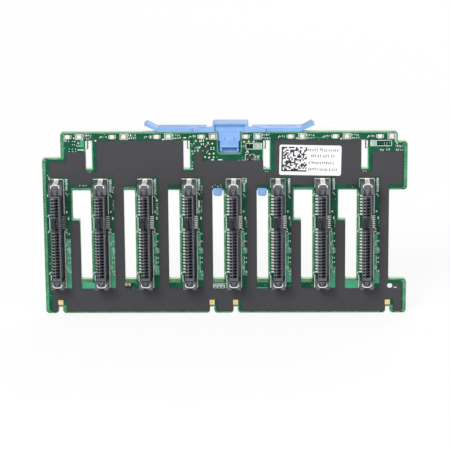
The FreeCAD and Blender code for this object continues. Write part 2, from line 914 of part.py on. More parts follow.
# spine behind the board, with a yoke and two legs
leg_left = bays[3] + size("air_left") + size("leg_inset")
leg_right = bays[4] + size("air_left") + size("leg_inset")
leg_width = size("leg_width")
leg_low = size("air_high") - size("leg_hang")
yoke_low = size("air_high") + size("yoke_up")
yoke_high = yoke_low + size("yoke_tall")
spine_half = size("spine_width") / 2
spine_sketch = new_sketch(latch, "spine_front", offset=latch_rear)
add_outline(spine_sketch, [
    (leg_left, leg_low),
    (leg_left + leg_width, leg_low),
    (leg_left + leg_width, yoke_low, -size("block_round")),
    (leg_right, yoke_low, -size("block_round")),
    (leg_right, leg_low),
    (leg_right + leg_width, leg_low),
    (leg_right + leg_width, yoke_high, -size("block_round")),
    (latch_x + spine_half, yoke_high, -size("block_round")),
    (latch_x + spine_half, top_edge),
    (latch_x - spine_half, top_edge),
    (latch_x - spine_half, yoke_high),
    (leg_left, yoke_high, -size("block_round")),
])
add_pad(latch, "spine", spine_sketch, "Sizes.latch_back - Sizes.latch_gap")

# hooks that reach through two air slots and turn up in front of the board
leg_top = size("air_high") - latch_gap
lip_top = size("air_high") + size("leg_lip_up")
for name, left in (("left_hook", leg_left), ("right_hook", leg_right)):
    hook_side = new_sketch(latch, name + "_side", "YZ_Plane", "%r" % left)
    hook_back = -front - latch_gap
    hook_front = hook_back - size("leg_lip_thick")
    add_outline(hook_side, [
        (rear_face, leg_low),
        (hook_front, leg_low, -latch_gap),
        (hook_front, lip_top, -latch_gap),
        (hook_back, lip_top),
        (hook_back, leg_top),
        (rear_face, leg_top),
    ])
    add_pad(latch, name, hook_side, "Sizes.leg_width")

# the lower corners of both hooks are cut off
hook_front = "Sizes.board_thick / 2 + Sizes.latch_gap + Sizes.leg_lip_thick"
corner_sketch = new_sketch(latch, "hook_corners", offset=hook_front)
leg_cut = size("leg_cut")
for left in (leg_left, leg_right):
    right = left + leg_width
    add_outline(corner_sketch, [(left, leg_low), (left + leg_cut, leg_low), (left, leg_low + leg_cut)])
    add_outline(corner_sketch, [(right, leg_low), (right, leg_low + leg_cut), (right - leg_cut, leg_low)])
add_pocket(
    latch, "hook_corner_cuts", corner_sketch,
    "Sizes.latch_gap + Sizes.leg_lip_thick + Sizes.board_thick + Sizes.latch_back",
)

# tongue with a sloping catch, and the two rails below it
tongue_half = size("tongue_width") / 2
tongue_low = from_top("recess_deep") + latch_gap
lip_front = -front - size("lip_out")
lip_high = from_top("lip_high_down")
lip_low = from_top("lip_low_down")
tongue_root = plate_face + latch_gap
tongue_sketch = new_sketch(latch, "tongue_side", "YZ_Plane", "%r" % (latch_x - tongue_half))
add_outline(tongue_sketch, [
    (tongue_root, tongue_top),
    (panel_face, tongue_top),
    (lip_front, lip_high),
    (lip_front, lip_low),
    (size("tongue_back"), lip_low),
    (-size("tongue_toe"), tongue_low),
    (tongue_root, tongue_low),
])
add_pad(latch, "tongue", tongue_sketch, "Sizes.tongue_width")
rail_face = -front - size("rail_out")
for name, left in (
    ("left_rail", latch_x - tongue_half),
    ("right_rail", latch_x + tongue_half - size("rail_width")),
):
    rail_sketch = new_sketch(latch, name + "_side", "YZ_Plane", "%r" % left)
    add_outline(rail_sketch, [
        (plate_face, lip_low + latch_gap),
        (rail_face, lip_low + latch_gap),
        (rail_face, tongue_low + size("rail_slope")),
        (rail_face + size("rail_slope"), tongue_low),
        (plate_face, tongue_low),
    ])
    add_pad(latch, name, rail_sketch, "Sizes.rail_width")

# mould relief in the back of the spine
relief_sketch = new_sketch(latch, "relief_back", offset=latch_rear)
relief_rim = size("relief_rim")
for left, right in (
    (latch_x - spine_half + relief_rim, latch_x - relief_rim / 2),
    (latch_x + relief_rim / 2, latch_x + spine_half - relief_rim),
):
    add_outline(relief_sketch, [
        (left, yoke_high + relief_rim),
        (right, yoke_high + relief_rim),
        (right, top_edge - relief_rim),
        (left, top_edge - relief_rim),
    ])
relief = add_pocket(latch, "relief", relief_sketch, "Sizes.relief_deep")
relief.Reversed = True


# pads, lamps and small parts on the drive side
def on_front(left, low, width, tall, thick):
    return block(left, left + width, -front - thick, -front, low, low + tall)


def on_back(left, low, width, tall, thick):
    return block(left, left + width, front, front + thick, low, low + tall)


def centred_front(x, level, width, tall, thick):
    return on_front(x - width / 2, level - tall / 2, width, tall, thick)


def centred_back(x, level, width, tall, thick):
    return on_back(x - width / 2, level - tall / 2, width, tall, thick)


pad_solids = []
for middle in notches:
    pad_solids.append(on_front(
        middle - size("ground_pad") / 2, pad_low, size("ground_pad"), size("ground_pad"), size("pad_thick"),
    ))
group("ground_pads", pad_solids)

hook_pads = []
pad_reach = (size("hook_width") - size("hook_neck")) / 2
for middle, step_side in zip(hooks, step_sides):
    x = middle + step_side * (hook_half - pad_reach / 2)
    level = (hook_shoulder + hook_high) / 2
    hook_pads.append(centred_front(x, level, pad_reach, hook_high - hook_shoulder, size("pad_thick")))
group("hook_slot_pads", hook_pads)


# surface-mounted lamp: a flat base and a lens that narrows outwards
def lamp(x):
    width = size("lamp_width")
    tall = size("lamp_tall")
    level = from_top("lamp_down")
    base = centred_front(x, level, width, tall, size("lamp_base"))
    half = tall / 2 - size("lamp_rim")
    tip = half - size("lamp_slope")
    lens = Part.makeWedge(-half, 0, -half, -tip, -tip, half, size("lamp_lens"), half, tip, tip)
    lens.rotate(Vector(0, 0, 0), Vector(0, 0, 1), 180)
    lens.translate(Vector(x, -front - size("lamp_base"), level))
    return base.fuse(lens).removeSplitter()


group("activity_lamps", [lamp(middle + size("lamp_near")) for middle in bays])
group("status_lamps", [lamp(middle + size("lamp_far")) for middle in bays])

# chip resistors and capacitors in a column beside each connector, placed by contact pitches
resistors = []
capacitors = []
chip_long = size("chip_long")
chip_wide = size("chip_wide")
chip_tall = size("chip_tall")
rear_long = size("rear_chip_long")
rear_wide = size("rear_chip_wide")
column = size("fine_out") + size("column_gap")
for middle in bays:
    for steps in (17, 14.5, 9, 7.5, 4.5):
        level = plug_low + steps * size("contact_pitch")
        resistors.append(centred_front(middle + column, level, chip_long, chip_wide, chip_tall))
    for across, steps in ((size("fine_out"), 13.5), (column, 11.5), (size("fine_out"), 6)):
        level = plug_low + steps * size("contact_pitch")
        capacitors.append(centred_front(middle + across, level, chip_wide, chip_long, chip_tall))

# two three-lead transistors beside the latch recess, with a few chips near them
bodies = []
leads = []
beside_left = (recess_left - size("transistor_left_gap"), from_top("transistor_left_down"))
beside_right = (recess_right + size("transistor_right_gap"), from_top("transistor_right_down"))
for x, level in (beside_left, beside_right):
    lead = size("transistor_lead")
    tall = size("transistor_tall")
    wide = size("transistor_wide")
    body = block(
        x - wide / 2, x + wide / 2, -front - lead / 4 - size("transistor_thick"), -front - lead / 4,
        level - tall / 2, level + tall / 2,
    )
    bodies.append(body)
    for across, side in ((0, 1), (-size("transistor_pitch"), -1), (size("transistor_pitch"), -1)):
        near = level + side * tall / 2
        far = near + side * lead
        leads.append(block(
            x + across - lead / 2, x + across + lead / 2, -front - lead, -front,
            min(near, far), max(near, far),
        ))
    spacing = size("transistor_wide") / 2 + chip_long
    for across in (spacing, spacing + 2 * chip_wide):
        resistors.append(centred_front(x + across, level, chip_wide, chip_long, chip_tall))
group("transistors", bodies)
group("transistor_leads", leads)


# cable side: two data sockets, each a thin shell round a core with a card slot
def data_socket(tag, middle, level):
    wide = size("socket_width")
    tall = size("socket_tall")
    deep = size("socket_deep")
    wall = size("socket_wall")
    slack = size("socket_slack")
    core_deep = deep - size("core_set")
    shell = centred_back(middle, level, wide, tall, deep)
    shell = shell.cut(centred_back(middle, level, wide - 2 * wall, tall - 2 * wall, deep))
    for across in (-wide / 4, wide / 4):
        half = size("catch_width") / 2
        shell = shell.cut(block(
            middle + across - half, middle + across + half,
            front + size("catch_start"), front + size("catch_start") + size("catch_deep"),
            level, level + tall,
        ))
    group("data_socket_shell_" + tag, [shell.removeSplitter()])
    core = centred_back(middle, level, wide - 2 * (wall + slack), tall - 2 * (wall + slack), core_deep)
    slot = block(
        middle - size("core_slot_long") / 2, middle + size("core_slot_long") / 2,
        front + core_deep - size("core_slot_deep"), front + deep,
        level - size("core_slot_tall") / 2, level + size("core_slot_tall") / 2,
    )
    group("data_socket_core_" + tag, [core.cut(slot).removeSplitter()])
    tabs = []
    pitch = size("socket_pitch")
    tab_long = size("tab_long")
    tab_wide = size("tab_wide")
    for i in range(18):
        x = middle + (i - 8.5) * pitch
        low = level - tall / 2 - tab_long
        tabs.append(on_back(x - tab_wide / 2, low, tab_wide, tab_long, size("tail_thick")))
    group("data_socket_contacts_" + tag, tabs)


data_socket("a", bays[2] - size("socket_a_before"), from_top("socket_down"))
data_socket("b", bays[6] - size("socket_b_before"), from_top("socket_down"))


# header body with square wells and one pin standing in each well
def header(middle, level, columns, rows, pitch, well, deep):
    margin = (pitch - well) / 2 + size("header_wall")
    wide = (columns - 1) * pitch + well + 2 * margin
    tall = (rows - 1) * pitch + well + 2 * margin
    floor = front + size("header_floor")
    half = size("header_pin") / 2
    body = centred_back(middle, level, wide, tall, deep)
    pins = []
    for i in range(columns):
        for j in range(rows):
            x = middle + (i - (columns - 1) / 2) * pitch
            z = level + (j - (rows - 1) / 2) * pitch
            hole = block(x - well / 2, x + well / 2, floor, front + deep, z - well / 2, z + well / 2)
            body = body.cut(hole)
            pins.append(block(x - half, x + half, floor, front + deep - size("pin_set"), z - half, z + half))
    return body.removeSplitter(), pins, tall


power_x = bays[2] - size("power_before")
signal_x = bays[6] - size("signal_before")
power_body, power_pins, power_tall = header(
    power_x, from_top("power_down"), 5, 2, size("power_pitch"), size("power_well"), size("power_deep"),
)
ramp_high = from_top("power_down") - power_tall / 2
ramp = block(
    power_x - size("ramp_width") / 2, power_x + size("ramp_width") / 2,
    front + size("ramp_start"), front + size("ramp_start") + size("ramp_thick"),
    ramp_high - size("ramp_out"), ramp_high,
)
group("power_header", [power_body.fuse(ramp).removeSplitter()])
group("power_pins", power_pins)
signal_body, signal_pins, signal_tall = header(
    signal_x, from_top("signal_down"), 7, 2, size("signal_pitch"), size("signal_well"), size("signal_deep"),
)
group("signal_header", [signal_body])
group("signal_pins", signal_pins)


# chip body raised on a row of leads along two or four of its sides
def chip(stem, x, level, wide, tall, thick, per_side, pitch, sides):
    lift = size("chip_lift")
    lead_high = front + size("lead_tall")
    half = pitch / 4
    group(stem, [block(
        x - wide / 2, x + wide / 2, front + lift, front + lift + thick, level - tall / 2, level + tall / 2,
    )])
    feet = []
    for i in range(per_side):
        shift = (i - (per_side - 1) / 2) * pitch
        for side in (-1, 1):
            near = level + side * tall / 2
            far = near + side * size("lead_reach")
            feet.append(block(
                x + shift - half, x + shift + half, front, lead_high, min(near, far), max(near, far),
            ))
            if sides == 4:
                near = x + side * wide / 2
                far = near + side * size("lead_reach")
                feet.append(block(
                    min(near, far), max(near, far), front, lead_high,
                    level + shift - half, level + shift + half,
                ))
    group(stem + "_leads", feet)


controller_x = left_edge + size("controller_in")
small_x = right_edge - size("small_chip_in")
controller = size("controller_side")
small_wide = size("small_chip_wide")
small_tall = size("small_chip_tall")
small_thick = size("small_chip_thick")
small_pitch = size("contact_pitch")
chip("controller_chip", controller_x, from_top("chips_down"), controller, controller,
     size("controller_thick"), 8, controller / 9, 4)
for stem, drop in (("memory_chip", "chips_down"), ("regulator_chip", "regulator_down")):
    chip(stem, small_x, from_top(drop), small_wide, small_tall, small_thick, 4, small_pitch, 2)

coil_side = size("coil_side")
coil_x = bays[7] - size("coil_before")
inductor = centred_back(coil_x, from_top("coil_down"), coil_side, coil_side, size("coil_tall"))
upright = [edge for edge in inductor.Edges if abs(edge.tangentAt(edge.FirstParameter).y) > 0.9]
group("power_inductor", [inductor.makeChamfer(size("coil_cut"), upright)])

cans = []
can_base = size("can_base")
for x, level in (
    (bays[1] - size("can_left_before"), from_top("can_down")),
    (bays[5], from_top("can_down")),
    (bays[7] - size("can_right_before"), from_top("can_high_down")),
):
    foot = centred_back(x, level, size("can_foot"), size("can_foot"), can_base)
    can = Part.makeCylinder(
        size("can_across") / 2, size("can_tall"), Vector(x, front + can_base, level), Vector(0, 1, 0),
    )
    cans.append(foot.fuse(can).removeSplitter())
group("bulk_capacitors", cans)

for middle in bays:
    for across in (-rear_long, rear_long):
        level = plug_low - 2 * size("contact_pitch")
        capacitors.append(centred_back(middle + across, level, rear_wide, rear_long, 2 * chip_tall))
group("chip_resistors", resistors)
group("chip_capacitors", capacitors)

doc.recompute()

# every object recomputed cleanly, and every piece has a sound shape, before anything is written
broken = [item.Name for item in doc.Objects if "Invalid" in item.State or "Error" in item.State]
if broken:
    raise RuntimeError("failed: " + ", ".join(broken))
os.makedirs("parts", exist_ok=True)
pieces = [item for item in doc.Objects if item.TypeId in ("PartDesign::Body", "Part::Feature")]
for piece in pieces:
    if piece.Shape.isNull() or not piece.Shape.isValid():
        raise RuntimeError("bad shape: " + piece.Label)
    piece.Shape.exportStep("parts/%s.step" % piece.Label)
print("%d parts written" % len(pieces))
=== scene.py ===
import bpy
import math
import random
from mathutils import Matrix, Vector


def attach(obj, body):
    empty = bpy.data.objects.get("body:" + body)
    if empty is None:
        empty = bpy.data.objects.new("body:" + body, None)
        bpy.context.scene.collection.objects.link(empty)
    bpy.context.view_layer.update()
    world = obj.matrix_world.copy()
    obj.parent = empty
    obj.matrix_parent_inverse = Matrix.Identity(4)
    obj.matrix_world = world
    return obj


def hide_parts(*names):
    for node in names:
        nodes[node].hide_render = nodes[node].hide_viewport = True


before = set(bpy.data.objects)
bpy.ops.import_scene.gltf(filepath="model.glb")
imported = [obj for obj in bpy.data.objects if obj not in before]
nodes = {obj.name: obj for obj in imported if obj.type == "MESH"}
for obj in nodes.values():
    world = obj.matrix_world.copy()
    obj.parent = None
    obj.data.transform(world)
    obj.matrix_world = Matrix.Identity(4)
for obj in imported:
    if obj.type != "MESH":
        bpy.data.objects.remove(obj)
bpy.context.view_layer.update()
mm = 0.001
print("frame loaded")

# materials


def linear(colour):
    channels = [int(colour[i:i + 2], 16) / 255 for i in (1, 3, 5)]
    return [c / 12.92 if c <= 0.04045 else ((c + 0.055) / 1.055) ** 2.4 for c in channels] + [1.0]


# A link's source is a socket, or a node that stands for its first output.
def addNode(tree, kind, settings=None, links=None):
    node = tree.nodes.new("ShaderNode" + kind)
    for key, value in (settings or {}).items():
        if isinstance(key, int) or key in node.inputs:
            node.inputs[key].default_value = value
        else:
            setattr(node, key, value)
    for key, source in (links or {}).items():
        tree.links.new(source.outputs[0] if hasattr(source, "outputs") else source, node.inputs[key])
    return node


def emptyTree(owner):
    owner.use_nodes = True
    owner.node_tree.nodes.clear()
    return owner.node_tree


def newMaterial(name):
    material = bpy.data.materials.new(name)
    tree = emptyTree(material)
    return material, tree, addNode(tree, "TexCoord").outputs["Object"]


def addShader(tree, colour, polish, relief, settings):
    shader = addNode(tree, "BsdfPrincipled", settings,
                     {"Base Color": colour, "Roughness": polish, "Normal": relief})
    addNode(tree, "OutputMaterial", {}, {"Surface": shader})


# A surface whose colour drifts over patches and whose polish and relief follow a finer grain, all in mm.
# It can hold specks, and take painted shade that darkens it towards a depth and on faces that look up.
def surface(name, dark, light, patch, grain, smooth, rough, bump, more=None):
    more = more or {}
    material, tree, point = newMaterial(name)
    patches = addNode(tree, "TexNoise", {"Scale": 1 / (patch * mm), "Detail": 3.0}, {"Vector": point})
    grains = addNode(tree, "TexNoise", {"Scale": 1 / (grain * mm), "Detail": 2.0}, {"Vector": point})
    spread = addNode(tree, "MapRange", {"From Min": 0.35, "From Max": 0.65}, {"Value": patches})
    colour = addNode(tree, "MixRGB", {"Color1": linear(dark), "Color2": linear(light)}, {"Fac": spread})
    if "specks" in more:
        specks = more["specks"]
        dust = addNode(tree, "TexVoronoi", {"Scale": 1 / (specks["spacing"] * mm)}, {"Vector": point})
        reach = specks["size"] / specks["spacing"]
        near = addNode(tree, "Math", {"operation": "LESS_THAN", 1: reach}, {0: dust})
        colour = addNode(tree, "MixRGB", {"Color2": linear(specks["colour"])},
                         {"Fac": near, "Color1": colour})
    # painted shade: darker along one depth, from near to far
    if "deep" in more:
        deep = more["deep"]
        place = addNode(tree, "SeparateXYZ", {}, {"Vector": point})
        reach = addNode(tree, "MapRange", {"From Min": deep["near"] * mm, "From Max": deep["far"] * mm,
                                           "To Max": deep["share"]}, {"Value": place.outputs[1]})
        colour = addNode(tree, "MixRGB", {"Color2": linear(deep["colour"])}, {"Fac": reach, "Color1": colour})
    # painted shade: darker on faces that look up
    if "top" in more:
        top = more["top"]
        facing = addNode(tree, "SeparateXYZ", {}, {"Vector": addNode(tree, "NewGeometry").outputs["Normal"]})
        upward = addNode(tree, "MapRange", {"From Min": 0.3, "From Max": 0.9, "To Max": top["share"]},
                         {"Value": facing.outputs[2]})
        colour = addNode(tree, "MixRGB", {"Color2": linear(top["colour"])}, {"Fac": upward, "Color1": colour})
    polish = addNode(tree, "MapRange", {"To Min": smooth, "To Max": rough}, {"Value": grains})
    relief = addNode(tree, "Bump", {"Strength": bump, "Distance": 0.05 * mm}, {"Height": grains})
    if "edge" in more:
        soft = addNode(tree, "Bevel", {"samples": 4, "Radius": more["edge"] * mm})
        tree.links.new(soft.outputs[0], relief.inputs["Normal"])
    addShader(tree, colour, polish, relief, {
        "Metallic": more.get("metal", 0.0), "Specular IOR Level": more.get("shine", 0.5),
        **more.get("fixed", {})})
    return material


# Solder mask over copper and glass-fibre laminate. The mask is a thin green gloss: it looks bright over
# copper and dark over bare laminate, and the sawn edge shows the pale laminate layers.
maskLook = {
    "bare": "#0d4534", "drift": "#14553f", "driftPatch": 5, "shine": 0.16, "faceRough": 0.34,
    "copper": "#1f7453", "pourShare": 0.3, "cell": 3.4, "pouredOver": 0.7, "copperHeight": 0.035,
    "trace": "#267d5a", "traceShare": 0.3, "tracePitch": 0.62, "tracedUnder": 0.5, "relief": 0.35,
    "tented": "#4f9c78", "viaSpacing": 2.3, "viaSize": 0.13, "ply": 0.6, "halfThickness": 1.2,
    "cutLight": "#dfe9d0", "cutDark": "#b4cba6", "cutDeep": "#cfe0c8", "cutRough": 0.72,
}
waveTurn = 0.314  # a wave texture of scale 1 repeats after this length


def solderMask():
    material, tree, point = newMaterial("solderMaskOnFr4")
    drift = addNode(tree, "TexNoise", {"Scale": 1 / (maskLook["driftPatch"] * mm), "Detail": 4.0},
                    {"Vector": point})
    spread = addNode(tree, "MapRange", {"From Min": 0.3, "From Max": 0.7}, {"Value": drift})
    ground = addNode(tree, "MixRGB", {"Color1": linear(maskLook["bare"]),
                                      "Color2": linear(maskLook["drift"])}, {"Fac": spread})
    # square-edged fields, some poured with copper and some filled with fine parallel traces
    fields = addNode(tree, "TexVoronoi", {"Scale": 1 / (maskLook["cell"] * mm), "distance": "CHEBYCHEV"},
                     {"Vector": point})
    pick = addNode(tree, "SeparateColor", {}, {"Color": fields.outputs["Color"]})
    poured = addNode(tree, "Math", {"operation": "GREATER_THAN", 1: maskLook["pouredOver"]}, {0: pick})
    traced = addNode(tree, "Math", {"operation": "LESS_THAN", 1: maskLook["tracedUnder"]}, {0: pick})
    lines = addNode(tree, "TexWave", {"Scale": waveTurn / (maskLook["tracePitch"] * mm),
                                      "bands_direction": "DIAGONAL"}, {"Vector": point})
    crisp = addNode(tree, "MapRange", {"From Min": 0.55, "From Max": 0.8}, {"Value": lines.outputs[1]})
    trace = addNode(tree, "Math", {"operation": "MULTIPLY"}, {0: crisp, 1: traced})
    half = addNode(tree, "Math", {"operation": "MULTIPLY", 1: maskLook["traceShare"]}, {0: trace})
    some = addNode(tree, "Math", {"operation": "MULTIPLY", 1: maskLook["pourShare"]}, {0: poured})
    tinted = addNode(tree, "MixRGB", {"Color2": linear(maskLook["copper"])}, {"Fac": some, "Color1": ground})
    lined = addNode(tree, "MixRGB", {"Color2": linear(maskLook["trace"])}, {"Fac": half, "Color1": tinted})
    # tented vias
    dots = addNode(tree, "TexVoronoi", {"Scale": 1 / (maskLook["viaSpacing"] * mm)}, {"Vector": point})
    via = addNode(tree, "Math", {"operation": "LESS_THAN", 1: maskLook["viaSize"]}, {0: dots})
    face = addNode(tree, "MixRGB", {"Color2": linear(maskLook["tented"])}, {"Fac": via, "Color1": lined})
    # the sawn edge: layers of glass cloth, stacked through the thickness
    place = addNode(tree, "SeparateXYZ", {}, {"Vector": point})
    layers = addNode(tree, "TexWave", {"Scale": waveTurn / (maskLook["ply"] * mm), "bands_direction": "Y",
                                       "Distortion": 1.0}, {"Vector": point})
    cut = addNode(tree, "MixRGB", {"Color1": linear(maskLook["cutDark"]),
                                   "Color2": linear(maskLook["cutLight"])}, {"Fac": layers.outputs[1]})
    halfThickness = maskLook["halfThickness"] * mm
    deep = addNode(tree, "MapRange", {"From Min": -halfThickness, "From Max": halfThickness},
                   {"Value": place.outputs[1]})
    side = addNode(tree, "MixRGB", {"Color2": linear(maskLook["cutDeep"])}, {"Fac": deep, "Color1": cut})
    normal = addNode(tree, "SeparateXYZ", {}, {"Vector": addNode(tree, "NewGeometry").outputs["Normal"]})
    across = addNode(tree, "Math", {"operation": "ABSOLUTE"}, {0: normal.outputs[1]})
    sawn = addNode(tree, "Math", {"operation": "LESS_THAN", 1: 0.5}, {0: across})
    colour = addNode(tree, "MixRGB", {}, {"Fac": sawn, "Color1": face, "Color2": side})
    polish = addNode(tree, "MapRange", {"To Min": maskLook["faceRough"], "To Max": maskLook["cutRough"]},
                     {"Value": sawn})
    height = addNode(tree, "Math", {"operation": "ADD"}, {0: trace, 1: poured})
    relief = addNode(tree, "Bump", {"Strength": maskLook["relief"],
                                    "Distance": maskLook["copperHeight"] * mm}, {"Height": height})
    addShader(tree, colour, polish, relief, {"Specular IOR Level": maskLook["shine"]})
    return material


